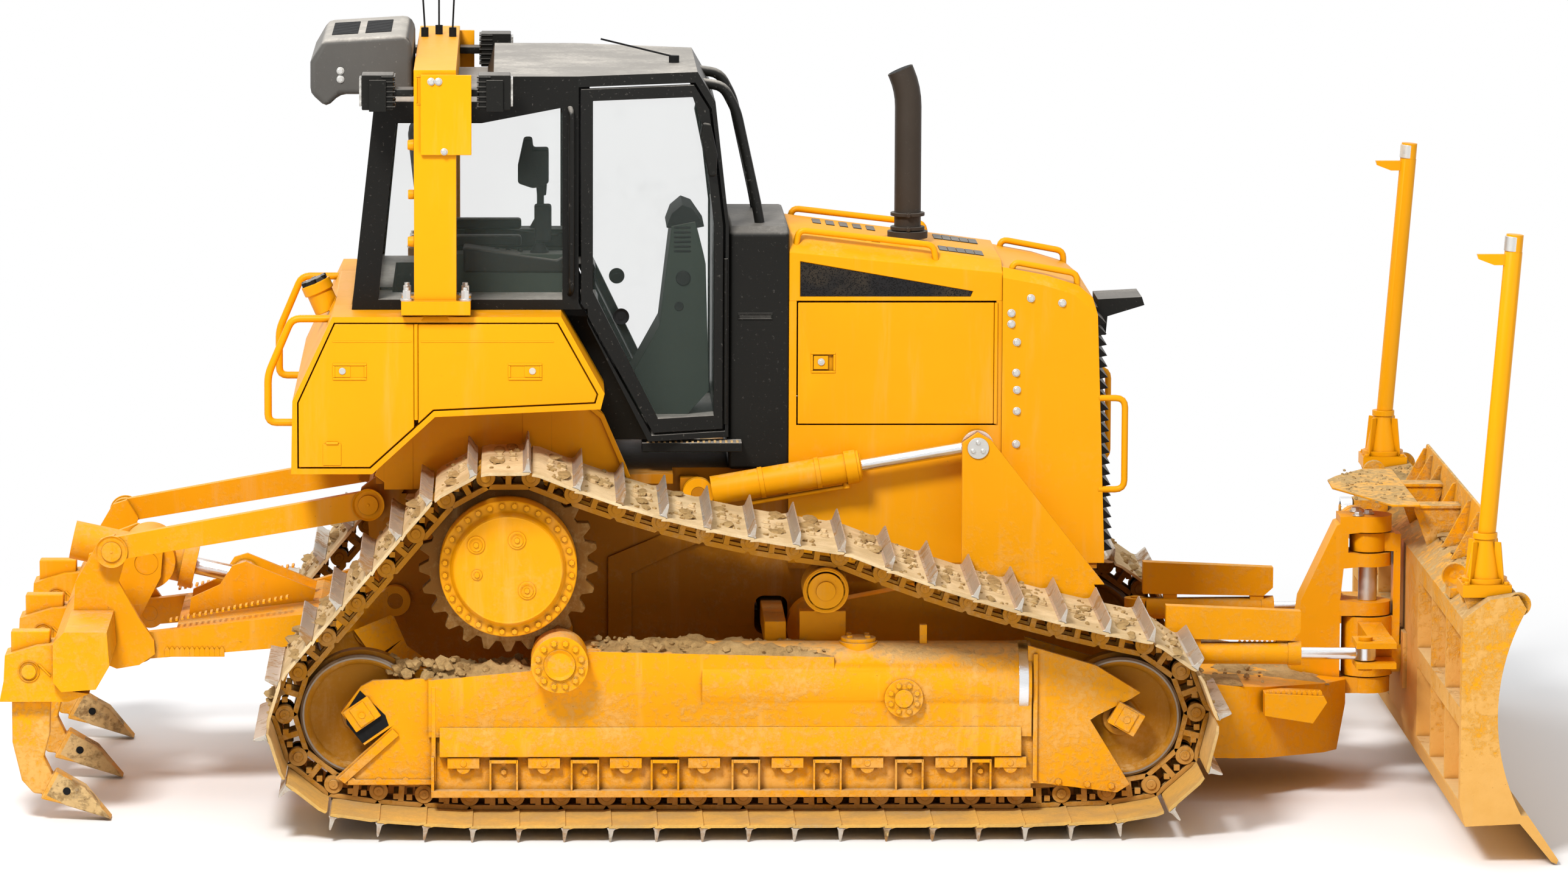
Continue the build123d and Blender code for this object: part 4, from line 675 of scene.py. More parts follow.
def stuffed(name, bm, finish_name, body, most, channels):
    """A stuffed pad: the block is remeshed, swollen by cloth pressure and drawn in along its seams.

    No point moves further than most; channels gives a point's depth below the swollen surface."""
    thing = piece(name, bm, finish_name, body, 0.035, 80)
    even = thing.modifiers.new("even faces", "REMESH")
    even.mode = "VOXEL"
    even.voxel_size = 0.010
    settled(thing)
    scene = bpy.context.scene
    before = [vert.co.copy() for vert in thing.data.vertices]
    cloth = thing.modifiers.new("stuffing", "CLOTH")
    cloth.settings.use_pressure = True
    cloth.settings.uniform_pressure_force = 4.0
    cloth.settings.effector_weights.gravity = 0.0
    for step in range(1, 21):
        scene.frame_set(step)
    settled(thing)
    scene.frame_set(1)
    for vert, old in zip(thing.data.vertices, before):
        moved = vert.co - old
        vert.co = old + moved * min(1.0, most / max(moved.length, 1e-6))
    for vert in thing.data.vertices:
        vert.co -= vert.normal * channels(vert.co)
    rounder = thing.modifiers.new("smooth cover", "SUBSURF")
    rounder.levels = rounder.render_levels = 1
    settled(thing)
    wear(thing.data, finish_name)
    thing.data.shade_smooth()
    return thing


# ================================================================ track chain
# Along and up from the sprocket's axle and the ground, and radii to the pins or the running face.
SPROCKET_Z, SPROCKET_PIN_R, IDLER_PIN_R, IDLER_R = 1.100, 0.375, 0.315, 0.250
REAR_IDLER, FRONT_IDLER, CARRIER = (-0.610, 0.475), (2.540, 0.460), (1.312, 0.994)
CARRIER_R, ROLLER_R = 0.101, 0.100
ROLLERS = (-0.198, 2.086)           # the first and last roller
SAGS = (0.048, 0.035, 0, 0, 0, 0)   # droop of each run, from the sprocket forwards and round
CHAIN_Y, SHOE_HALF = 1.080, 0.420   # the chain's middle, and half a shoe's width
SHOE_BOLTS, SHOE_BOLT_Y = (0.060, 0.115), 0.066


def wheel_tangent(a, b):
    """Ends of the straight run from wheel a to wheel b, both on its right; a wheel is (x, z, radius)."""
    (ax, az, ar), (bx, bz, br) = a, b
    span = math.hypot(bx - ax, bz - az)
    ux, uz = (bx - ax) / span, (bz - az) / span
    along = (ar - br) / span
    aside = math.sqrt(1 - along ** 2)
    nx, nz = along * ux - aside * uz, along * uz + aside * ux
    return (ax + ar * nx, az + ar * nz), (bx + br * nx, bz + br * nz)


def arc(start, middle, end, steps=40):
    """Points on the circle through three points, from start to end."""
    (ax, az), (bx, bz), (cx, cz) = start, middle, end
    d = 2 * (ax * (bz - cz) + bx * (cz - az) + cx * (az - bz))
    a2, b2, c2 = ax ** 2 + az ** 2, bx ** 2 + bz ** 2, cx ** 2 + cz ** 2
    ux = (a2 * (bz - cz) + b2 * (cz - az) + c2 * (az - bz)) / d
    uz = (a2 * (cx - bx) + b2 * (ax - cx) + c2 * (bx - ax)) / d
    radius = math.hypot(ax - ux, az - uz)
    first, mid, last = (math.atan2(z - uz, x - ux) for x, z in (start, middle, end))
    turn = (last - first) % (2 * math.pi)
    if (mid - first) % (2 * math.pi) > turn:
        turn -= 2 * math.pi
    turns = [first + turn * i / steps for i in range(1, steps + 1)]
    return [(ux + radius * math.cos(angle), uz + radius * math.sin(angle)) for angle in turns]


def pin_places():
    """The chain's pins, evenly spaced on its line over the sprocket and round the idlers."""
    s = sizes()
    ground = s.link_outer + s.shoe_thickness + s.grouser
    roller = ROLLER_R + s.link_inner
    wheels = [(0.0, SPROCKET_Z, SPROCKET_PIN_R), (*CARRIER, CARRIER_R + s.link_inner),
              (*FRONT_IDLER, IDLER_PIN_R), (ROLLERS[1], ground + roller, roller),
              (ROLLERS[0], ground + roller, roller), (*REAR_IDLER, IDLER_PIN_R)]
    runs = [wheel_tangent(wheels[i], wheels[(i + 1) % 6]) for i in range(6)]
    line = [runs[0][0]]
    for i, (start, end) in enumerate(runs):
        if SAGS[i]:
            line += arc(start, ((start[0] + end[0]) / 2, (start[1] + end[1]) / 2 - SAGS[i]), end)
        else:
            line.append(end)
        x, z, r = wheels[(i + 1) % 6]
        leave = runs[(i + 1) % 6][0]
        first = math.atan2(end[1] - z, end[0] - x)
        turn = (first - math.atan2(leave[1] - z, leave[0] - x)) % (2 * math.pi)
        line += [(x + r * math.cos(first - turn * k / 60), z + r * math.sin(first - turn * k / 60))
                 for k in range(1, 61)]
    lengths = [math.dist(a, b) for a, b in zip(line, line[1:])]
    pitch = sum(lengths) / s.shoes
    pins, walked, target = [], 0.0, 0.0
    for (a, b), length in zip(zip(line, line[1:]), lengths):
        while length and target <= walked + length and len(pins) < s.shoes:
            t = (target - walked) / length
            pins.append(Vector((a[0] + (b[0] - a[0]) * t, a[1] + (b[1] - a[1]) * t)))
            target += pitch
        walked += length
    return pins, pitch


class LinkFrame:
    """The place of one link: its pins, its direction and the way out of the loop."""

    def __init__(self, rear, front):
        self.rear, self.front = rear, front
        self.along = (front - rear).normalized()
        self.out = Vector((-self.along.y, self.along.x))

    def point(self, along, out, y):
        spot = self.rear + self.along * along + self.out * out
        return at(spot.x, y, spot.y)


def add_link_slab(bm, link, outline, y0, y1):
    """A slab on a link from (along, out) corners, between two distances across the machine."""
    add_slab(bm, [link.point(along, out, y0) for along, out in outline], (0, y1 - y0, 0))


class BULLDOZER_OT_tracks(bpy.types.Operator):
    """Shoes with grousers, links with their bosses and windows, pins, shoe bolts and packed mud"""
    bl_idname = "bulldozer.tracks"
    bl_label = "Track chains"

    def execute(self, context):
        s = sizes()
        pins, pitch = pin_places()
        chain = [LinkFrame(pins[i], pins[(i + 1) % len(pins)]) for i in range(len(pins))]
        for name, side in SIDES:
            middle = side * CHAIN_Y
            shoes, grousers = self.shoes(s, chain, pitch, middle), self.grousers(s, chain, middle)
            links, mud = self.links(s, chain, pitch, middle), self.mud(s, chain, pitch, middle, side)
            made = piece(f"track_shoes_{name}", shoes, "shoe_steel", "chassis", 0.002)
            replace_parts(made, f"track_{name}")
            piece(f"track_grousers_{name}", grousers, "grouser_steel", "chassis", 0.0015)
            piece(f"track_links_{name}", links, "chain_steel", "chassis", 0.002)
            piece(f"track_mud_{name}", mud, "mud", "chassis")
        return {"FINISHED"}

    @shape
    def shoes(self, bm, s, chain, pitch, middle):
        """A plate on each link, curled down at its rear and up at its front, with four bolts."""
        low, high = s.link_outer, s.link_outer + s.shoe_thickness
        outline = [(-0.018, low - 0.006), (0.012, low), (pitch - 0.030, low), (pitch - 0.008, low + 0.004),
                   (pitch - 0.002, high + 0.004), (pitch - 0.036, high + 0.004), (pitch - 0.050, high),
                   (0.014, high), (-0.016, high - 0.007)]
        for link in chain:
            add_link_slab(bm, link, outline, middle - SHOE_HALF, middle + SHOE_HALF)
            for rail in (-SHOE_BOLT_Y, SHOE_BOLT_Y):
                for along in SHOE_BOLTS:
                    add_bolt(bm, link.point(along, high, middle + rail),
                             link.point(along, high + 1, middle) - link.point(along, high, middle), 0.015)

    @shape
    def grousers(self, bm, s, chain, middle):
        """The bar across each shoe, thick at its foot and worn thin at its top."""
        base = s.link_outer + s.shoe_thickness
        tip = base + s.grouser
        for link in chain:
            lead = (link.front - link.rear).length
            outline = [(lead - 0.040, base - 0.001), (lead - 0.026, base + 0.010),
                       (lead - 0.016, tip - 0.004), (lead - 0.014, tip), (lead - 0.009, tip),
                       (lead - 0.006, tip - 0.012), (lead - 0.004, base + 0.012),
                       (lead + 0.002, base - 0.001)]
            add_link_slab(bm, link, outline, middle - SHOE_HALF, middle + SHOE_HALF)

    @shape
    def links(self, bm, s, chain, pitch, middle):
        """Two open rails on each link, with pin bosses, pin ends, nuts and the bush between them."""
        inner, outer = s.rail_gap / 2, s.rail_gap / 2 + s.rail_width
        top, rail, boss = s.link_outer - 0.001, -s.link_inner, s.boss
        half_nut = Vector((0.012, 0.014, 0.012))
        web, low, high = pitch / 2, rail + 0.018, top - 0.016
        strips = (((0.0, top - 0.020), (pitch, top - 0.020), (pitch + 0.016, top), (-0.016, top)),
                  ((0.012, rail), (pitch - 0.012, rail), (pitch + 0.010, rail + 0.022),
                   (-0.010, rail + 0.022)), ((web - 0.012, low), (web + 0.012, low), (web + 0.012, high),
                                             (web - 0.012, high)))
        for link in chain:
            for flank in (-1, 1):
                y0, y1 = middle + flank * inner, middle + flank * (outer - 0.006)
                for strip in strips:
                    add_link_slab(bm, link, strip, y0, y1)
                for along, reach in ((0.0, outer - 0.002), (pitch, outer - 0.010)):
                    add_disc(bm, link.point(along, 0.0, middle + flank * inner), ACROSS * flank, boss,
                             reach - inner, 20)
                end, nipple = (link.point(0.0, 0.0, middle + flank * y) for y in (outer, outer + 0.004))
                add_disc(bm, end, ACROSS * flank, 0.022, 0.005, 16, 0.019)
                add_disc(bm, nipple, ACROSS * flank, 0.007, 0.003, 8)
                for along in SHOE_BOLTS:
                    nut = link.point(along, 0.018, middle + flank * SHOE_BOLT_Y)
                    add_box(bm, nut - half_nut, nut + half_nut)
            add_disc(bm, link.point(0.0, 0.0, middle - inner), ACROSS, 0.026, 2 * inner, 14)

    @shape
    def mud(self, bm, s, chain, pitch, middle, side):
        """Cakes of dry soil between the grousers on the upper run, crumbled at their edges."""
        chance = Random(11 + side)
        base = s.link_outer + s.shoe_thickness
        for index, link in enumerate(chain):
            if link.out.y < 0.15:
                continue
            for k in range(3):
                across_y = chance.uniform(-0.36, 0.36)
                size = [chance.uniform(*span) for span in ((0.018, 0.040), (0.05, 0.12), (0.010, 0.020))]
                spot = link.point(chance.uniform(0.05, pitch - 0.07), base + 0.001, middle + across_y)
                add_clump(bm, spot, size, index * 7.3 + k)
            add_crumbs(bm, chance, lambda: link.point(chance.uniform(0.02, pitch - 0.05), base + 0.002,
                                                      middle + chance.uniform(-0.40, 0.40)), 14, 0.005, 0.014)


# ================================================================ undercarriage
ROLLER_CLAMPS = (-0.186, 0.147, 0.485, 0.809, 1.154, 1.485, 1.833, 2.078)
GUARD_Y = 1.2105          # outer face of the roller guard
FRAME_Y = 1.2300          # outer face of the roller frame's body


class BULLDOZER_OT_undercarriage(bpy.types.Operator):
    """Track frames, rollers, idlers, sprockets and final drives with their bolts, clamps and caps"""
    bl_idname = "bulldozer.undercarriage"
    bl_label = "Undercarriage"

    def execute(self, context):
        for name, side in SIDES:
            soften(f"track_frame_{name}", "low_paint", 0.007)
            pieces((("roller_guard", self.guard, "low_paint", 0.004),
                    ("frame_caps", self.caps, "low_paint", 0.002),
                    ("idler_blocks", self.idler_blocks, "low_paint", 0.003),
                    # painted shade: a flat black plate in the rear yoke's opening
                    ("yoke_recess", self.yoke_recess, "deep_black", 0.0),
                    ("yoke_straps", self.yoke_straps, "low_paint", 0.002),
                    ("tube_ring", self.tube_ring, "chrome", 0.001),
                    ("carrier_caps", self.carrier_cap, "drive_paint", 0.002),
                    ("final_drive_trim", self.final_drive, "drive_paint", 0.002),
                    ("frame_mud", self.packed_mud, "mud", 0.0)), name, side)
        soften("final_drives", "drive_paint", 0.007)
        soften("sprockets", "sprocket_steel", 0.004)
        self.idlers()
        soften("track_rollers", "chain_steel", 0.003)
        soften("equalizer_bar", "low_paint")
        return {"FINISHED"}

    def idlers(self):
        """Dished wheels, each with a hub, a web and a bright rim that the rails run on."""
        wheels, rims = bmesh.new(), bmesh.new()
        half = [(0.050, 0.098), (0.074, 0.098), (0.082, 0.074), (0.110, 0.054), (0.186, 0.044),
                (0.208, 0.052), (0.218, 0.082), (0.226, 0.089), (IDLER_R - 0.010, 0.0905),
                (IDLER_R - 0.002, 0.083), (IDLER_R - 0.002, 0.038), (IDLER_R + 0.014, 0.035)]
        tyre = [(0.234, 0.086), (0.234, 0.0915), (IDLER_R - 0.009, 0.0918), (IDLER_R, 0.084),
                (IDLER_R, 0.060)]
        for side in (-1, 1):
            for x, z in (REAR_IDLER, FRONT_IDLER):
                centre = at(x, side * CHAIN_Y, z)
                add_spun(wheels, centre, half + [(radius, -y) for radius, y in reversed(half)])
                for flank in (-1, 1):
                    add_spun(rims, centre, [(radius, flank * y) for radius, y in tyre])
        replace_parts(piece("idler_wheels", wheels, "idler_steel", "chassis"), "idlers")
        piece("idler_rims", rims, "rim_steel", "chassis")

    @shape
    def guard(self, bm, side):
        """The channel along the rollers: its lip, foot rail, ribs, bolted clamps and framed pockets."""
        out = ACROSS * side
        x0, x1 = -0.319, 2.172
        add_rail(bm, [(GUARD_Y - 0.01, 0.300), (GUARD_Y + 0.045, 0.312), (GUARD_Y + 0.045, 0.352),
                      (FRAME_Y + 0.004, 0.432), (GUARD_Y - 0.01, 0.432)], x0 + 0.035, x1 - 0.05, side)
        add_block(bm, (x0, x1), (GUARD_Y - 0.01, GUARD_Y + 0.048), (0.142, 0.170), side)
        add_block(bm, (x0, x0 + 0.012), (GUARD_Y - 0.01, GUARD_Y + 0.044), (0.150, 0.310), side)
        for here, after in zip(ROLLER_CLAMPS, (*ROLLER_CLAMPS[1:], None)):
            clamp = (here - 0.066, here + 0.066)
            add_block(bm, clamp, (GUARD_Y - 0.005, GUARD_Y + 0.036), (0.262, 0.306), side)
            add_disc(bm, at(here, side * (GUARD_Y - 0.005), 0.268), out, 0.030, 0.036, 24)
            add_disc(bm, at(here, side * (GUARD_Y + 0.034), 0.282), out, 0.016, 0.006, 16, 0.012)
            for offset in (-0.050, 0.050):
                add_bolt(bm, at(here + offset, side * (GUARD_Y + 0.012), 0.262), -UP, 0.010)
            if after is None:
                continue
            middle = (here + after) / 2
            half = 0.055 if after - here > 0.28 else 0.040
            deep = (GUARD_Y - 0.01, GUARD_Y + 0.042)
            for edge in (middle - half, middle + half):
                add_block(bm, (edge - 0.004, edge + 0.004), deep, (0.165, 0.298), side)
            add_block(bm, (middle - half, middle + half), deep, (0.284, 0.298), side)
            add_bolt(bm, at(middle, side * GUARD_Y, 0.243), out, 0.013)
            add_bolt(bm, at(middle, side * (GUARD_Y + 0.02), 0.284), -UP, 0.011)

    @shape
    def caps(self, bm, side):
        """Bolted caps on the frame's outside, its top cover and the bolts of both yokes."""
        out = ACROSS * side
        # x, z, where the cap starts across, radius, depth, bolts, their circle, bolt size
        rows = ((0.211, 0.713, 1.335, 0.118, 0.016, 12, 0.092, 0.013),
                (1.634, 0.555, 1.220, 0.080, 0.040, 8, 0.058, 0.012))
        for x, z, y, radius, depth, bolts, circle, size in rows:
            add_disc(bm, at(x, side * y, z), out, radius, depth, 40)
            for spot in around(at(x, side * (y + depth), z), circle, bolts):
                add_bolt(bm, spot, out, size)
        add_ring(bm, at(0.211, side * 1.349, 0.713), out, 0.064, 0.050, 0.014)
        add_disc(bm, at(1.634, side * 1.258, 0.555), out, 0.038, 0.008, 24)
        cover = at(1.451, side * 1.090, 0.700)
        add_disc(bm, cover, UP, 0.080, 0.070, 36)
        add_disc(bm, cover + UP * 0.068, UP, 0.072, 0.018, 36)
        for spot in around(cover + UP * 0.085, 0.052, 4, rise=ACROSS):
            add_bolt(bm, spot, UP, 0.013)
        for x, z in ((-0.645, 0.207), (-0.535, 0.207), (-0.425, 0.207),
                     (2.280, 0.196), (2.400, 0.185), (2.500, 0.178)):
            add_bolt(bm, at(x, side * 1.206, z), out, 0.015)
        add_block(bm, (1.705, 1.735), (1.085, 1.115), (0.740, 0.840), side)

    @shape
    def yoke_recess(self, bm, side):
        """A thin flat black plate on the yoke's face: painted shade in the opening round the rear bearing block.
        """
        add_plate(bm, [(-0.612, 0.584), (-0.672, 0.494), (-0.668, 0.444), (-0.602, 0.362), (-0.494, 0.438),
                       (-0.508, 0.480)], 1.208, 1.2118, side)

    @shape
    def yoke_straps(self, bm, side):
        """The raised strap on the rear yoke's slope, the bar under it and an upright bar by each yoke."""
        face = 1.205          # the yokes' outer faces
        add_plate(bm, [(-0.478, 0.424), (-0.452, 0.398), (-0.676, 0.196), (-0.704, 0.216)], face, 1.226, side)
        # ranges along and up, and how far out the bar reaches
        for (x0, x1), (z0, z1), reach in (((-0.664, -0.305), (0.190, 0.212), 1.222),
                                          ((-0.318, -0.300), (0.205, 0.600), 1.232),
                                          ((2.172, 2.190), (0.200, 0.735), 1.226)):
            add_plate(bm, [(x0, z0), (x1, z0), (x1, z1), (x0, z1)], face, reach, side)

    @shape
    def tube_ring(self, bm, side):
        """The bright band where the recoil tube slides in its housing."""
        add_disc(bm, at(2.112, side * CHAIN_Y, 0.598), FORWARD, 0.1705, 0.040, 56)

    @shape
    def carrier_cap(self, bm, side):
        """Stepped cap over the carrier roller's outer end."""
        out = ACROSS * side
        for radius, y, depth in ((0.094, 1.166, 0.016), (0.074, 1.180, 0.010), (0.040, 1.188, 0.010)):
            add_disc(bm, at(CARRIER[0], side * y, CARRIER[1]), out, radius, depth, 40)
        add_ring(bm, at(CARRIER[0], side * 1.181, CARRIER[1]), out, 0.088, 0.080, 0.005, 40)

    @shape
    def idler_blocks(self, bm, side):
        """Square bearing blocks at the idlers' shafts, each with its grease hole and end plate."""
        for x, z, turn in ((-0.605, 0.487, 0.60), (2.560, 0.460, -0.52)):
            add_block(bm, (x - 0.062, x + 0.062), (1.180, 1.228), (z - 0.050, z + 0.050), side, turn)
            add_block(bm, (x - 0.034, x + 0.034), (1.226, 1.234), (z - 0.044, z + 0.044), side, turn)
            add_ring(bm, at(x, side * 1.232, z), ACROSS * side, 0.016, 0.009, 0.006, 16)

    @shape
    def final_drive(self, bm, side):
        """Bolt ring, ribs' bosses, plugs and the grooved centre of the drive's cover."""
        out = ACROSS * side
        for spot in around(at(0, side * 1.264, SPROCKET_Z), 0.262, 32):
            add_bolt(bm, spot, out, 0.013)
        add_ring(bm, at(0, side * 1.299, SPROCKET_Z), out, 0.222, 0.214, 0.004, 64)
        add_ring(bm, at(0, side * 1.280, SPROCKET_Z), out, 0.078, 0.068, 0.010, 48)
        add_disc(bm, at(0, side * 1.279, SPROCKET_Z), out, 0.062, 0.008, 48)
        for x, z in ((-0.132, 0.105), (0.036, 0.124), (0.077, -0.085)):
            add_disc(bm, at(x, side * 1.290, SPROCKET_Z + z), out, 0.040, 0.016, 28, 0.036)
            add_ring(bm, at(x, side * 1.305, SPROCKET_Z + z), out, 0.026, 0.020, 0.006, 24)
            add_disc(bm, at(x, side * 1.304, SPROCKET_Z + z), out, 0.012, 0.008, 6)
        add_disc(bm, at(-0.129, side * 1.290, SPROCKET_Z - 0.019), out, 0.022, 0.016, 20)
        add_disc(bm, at(-0.129, side * 1.304, SPROCKET_Z - 0.019), out, 0.012, 0.010, 6)

    @shape
    def packed_mud(self, bm, side):
        """Soil lying on the roller frame, crumbs on the recoil tube and a heap ahead of the rear idler."""
        chance = Random(5 + side)
        top = ((-0.33, 0.628), (-0.26, 0.634), (0.09, 0.667), (0.34, 0.745), (0.80, 0.740), (1.34, 0.724))
        across_y = (side * 0.955, side * 1.228)
        for x0, x1, thick in ((-0.325, 0.095, 0.045), (0.330, 1.340, 0.042)):
            add_soil_bed(bm, across_y, (x0, x1), lambda x: interpolate(top, x), thick, 4.0 + side)

        def on_frame():
            x = chance.uniform(-0.32, 1.34)
            if 0.08 < x < 0.34:
                x = chance.uniform(-0.32, 0.08)
            return at(x, side * chance.uniform(0.96, 1.225), interpolate(top, x) + 0.020)

        def on_tube():
            turn = chance.uniform(-0.9, 0.9)
            y, z = 1.090 + 0.172 * math.sin(turn), 0.555 + 0.172 * math.cos(turn)
            return at(chance.uniform(1.36, 2.10), side * y, z)

        def by_idler():
            return at(chance.uniform(-0.50, -0.20), side * chance.uniform(1.08, 1.21),
                      0.640 + chance.uniform(0, 0.06))

        add_crumbs(bm, chance, on_frame, 150, 0.006, 0.020)
        add_crumbs(bm, chance, on_tube, 60, 0.003, 0.010)
        add_crumbs(bm, chance, by_idler, 60, 0.010, 0.032)


def interpolate(rows, x):
    """The height at x on a line through (x, z) points, level past its ends."""
    for (x0, z0), (x1, z1) in zip(rows, rows[1:]):
        if x <= x1:
            return z0 + (z1 - z0) * max(0.0, x - x0) / (x1 - x0)
    return rows[-1][1]


# ================================================================ hull, hood and nose
NOSE_BOLTS = ((2.116, 2.064), (2.116, 2.018), (2.140, 1.941), (2.138, 1.811), (2.142, 1.738), (2.142, 1.648),
              (2.140, 1.508), (2.198, 2.127), (2.330, 2.107))
DOOR_HINGES = ((1.954, 2.094), (1.625, 1.765))          # low and high ends
STACK_X = 1.700
STACK_MOUTH = (1.664, 0, 3.048)
RAIL_R = 0.0138
HOOD_TOP = ((1.180, 2.392), (2.079, 2.276))             # the hood's slope, from rear to front


class BULLDOZER_OT_hull(bpy.types.Operator):
    """Main frame, engine, side panels, hood, nose, grille, exhaust and rails"""
    bl_idname = "bulldozer.hull"
    bl_label = "Hull, hood and nose"

    def execute(self, context):
        # the main frame wears the darkened hull paint, painted shade for its place under the tracks
        for node, finish_name, edge in (("main_frame", "hull_paint", 0.012), ("hood", "body_paint", 0.012),
                                        ("nose_housing", "body_paint", 0.020), ("grille", "cover", 0.004)):
            soften(node, finish_name, edge)
        pipe = add_tube("exhaust_pipe", [(STACK_X, 0, 2.340), (STACK_X, 0, 2.965), STACK_MOUTH], 0.0568,
                        "stack", "chassis", 0.075)
        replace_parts(pipe, "exhaust_stack")
        piece("exhaust_mouth", self.mouth(), "deep_black", "chassis")
        dress("engine_block", "deep_black")
        for name, side in SIDES:
            soften(f"engine_side_{name}", "body_paint", 0.004)
            soften(f"engine_door_{name}", "body_paint", 0.004)
            pieces((("hood_mesh", self.mesh_panel, "mesh", 0.0),
                    ("nose_bolts", self.bolts, "zinc", 0.0015),
                    ("door_latch", self.latch, "body_paint", 0.003, f"engine_door_{name}"),
                    ("door_lock", self.lock, "zinc", 0.001, f"engine_door_{name}"),
                    ("door_hinges", self.hinges, "body_paint", 0.002),
                    # the hull's bolts and strap wear the same darkened paint, painted shade
                    ("hull_trim", self.hull_trim, "hull_paint", 0.008)), name, side)
        pieces((("hood_vents", self.vents, "cover", 0.002), ("stack_clamp", self.clamp, "stack", 0.003)))
        self.rails()
        return {"FINISHED"}

    @shape
    def mesh_panel(self, bm, side):
        """Perforated sheet let into the hood's flank."""
        add_plate(bm, [(1.228, 2.134), (1.228, 2.279), (1.952, 2.154), (1.943, 2.134)], 0.4600, 0.4668, side)

    @shape
    def bolts(self, bm, side):
        """Bolts round the nose's flank, over the joint with the engine's sides."""
        for x, z in NOSE_BOLTS:
            add_bolt(bm, at(x, side * 0.4795, z), ACROSS * side, 0.014)

    @shape
    def latch(self, bm, side):
        """The sunk dish behind the paddle of the door's latch, and the paddle."""
        add_frame(bm, (1.272, 1.377), (1.808, 1.897), 0.010, (0.462, 0.4735), side)
        add_block(bm, (1.284, 1.346), (0.452, 0.4700), (1.824, 1.882), side)

    @shape
    def lock(self, bm, side):
        """The key lock in the latch's dish."""
        out = ACROSS * side
        add_disc(bm, at(1.316, side * 0.469, 1.856), out, 0.015, 0.006, 20)
        add_disc(bm, at(1.316, side * 0.474, 1.856), out, 0.008, 0.003, 12)

    @shape
    def hinges(self, bm, side):
        """Each hinge's three knuckles, on the axis that the door turns about."""
        for low, high in DOOR_HINGES:
            length = (high - low) / 3
            for k in range(3):
                start = low + (high - low) * k / 3
                add_disc(bm, at(2.0533, side * 0.470, start + 0.001), UP, 0.0082, length - 0.003, 16)

    @shape
    def hull_trim(self, bm, side):
        """Bolts round the final drive's opening and the strap that runs forward from it."""
        for turn in (math.radians(200 + 16 * k) for k in range(10)):
            spot = at(0.34 * math.cos(turn), side * 0.419, SPROCKET_Z + 0.34 * math.sin(turn))
            add_bolt(bm, spot, ACROSS * side, 0.018)
        add_plate(bm, [(0.42, 0.60), (0.42, 1.02), (0.75, 1.16), (1.02, 1.16), (1.02, 1.10), (0.80, 1.08),
                       (0.52, 0.95), (0.52, 0.60)], 0.418, 0.436, side)

    @shape
    def vents(self, bm):
        """Louvred openings let into the hood's top on both sides of the exhaust."""
        for x0, x1 in ((1.290, 1.580), (1.820, 2.010)):
            for side in (-1, 1):
                for k in range(5):
                    x = x0 + (x1 - x0) * (k + 0.5) / 5
                    z = interpolate(HOOD_TOP, x)
                    add_block(bm, (x - 0.018, x + 0.018), (0.14, 0.30), (z - 0.004, z + 0.004), side, -0.128)

    @shape
    def mouth(self, bm):
        """A black disc on the pipe's capped end: the bore's soot and painted shade for its depth."""
        along = Vector((-0.036, 0, 0.083)).normalized()
        add_disc(bm, at(*STACK_MOUTH) - along * 0.004, along, 0.0505, 0.005, 32)

    @shape
    def clamp(self, bm):
        """The collar at the pipe's foot and the two bolted bands above it."""
        for z in (2.365, 2.425):
            add_disc(bm, at(STACK_X, 0, z), UP, 0.073, 0.014, 40)
        add_disc(bm, at(STACK_X, 0, 2.330), UP, 0.086, 0.030, 40)
        for z in (2.372, 2.432):
            add_bolt(bm, at(STACK_X, -0.075, z), -ACROSS, 0.010)

    def rails(self):
        """Handrails on the hood, the nose, the grille and the tank, all on both sides."""
        # rail, place across, (x, z) points, radius, bend
        rows = (("hood_rail", 0.420, ((1.207, 2.330), (1.222, 2.410), (1.790, 2.345), (1.800, 2.270)),
                 RAIL_R, 0.03),
                ("nose_rail", 0.420, ((2.114, 2.210), (2.126, 2.275), (2.396, 2.225), (2.396, 2.120)),
                 RAIL_R, 0.03),
                ("grille_rail", 0.470, ((2.490, 1.702), (2.600, 1.702), (2.600, 1.313), (2.490, 1.313)),
                 RAIL_R, 0.04),
                ("tank_rail", 0.760, ((-0.870, 1.640), (-1.000, 1.640), (-1.000, 1.840), (-0.900, 2.075),
                                      (-0.740, 2.075)), 0.0158, 0.035))
        for name, side in SIDES:
            for title, y, points, radius, bend in rows:
                path = [(x, side * y, z) for x, z in points]
                add_tube(f"{title}_{name}", path, radius, "clean_paint", "chassis", bend)
        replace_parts(bpy.data.objects["hood_rail_right"], "handrails")


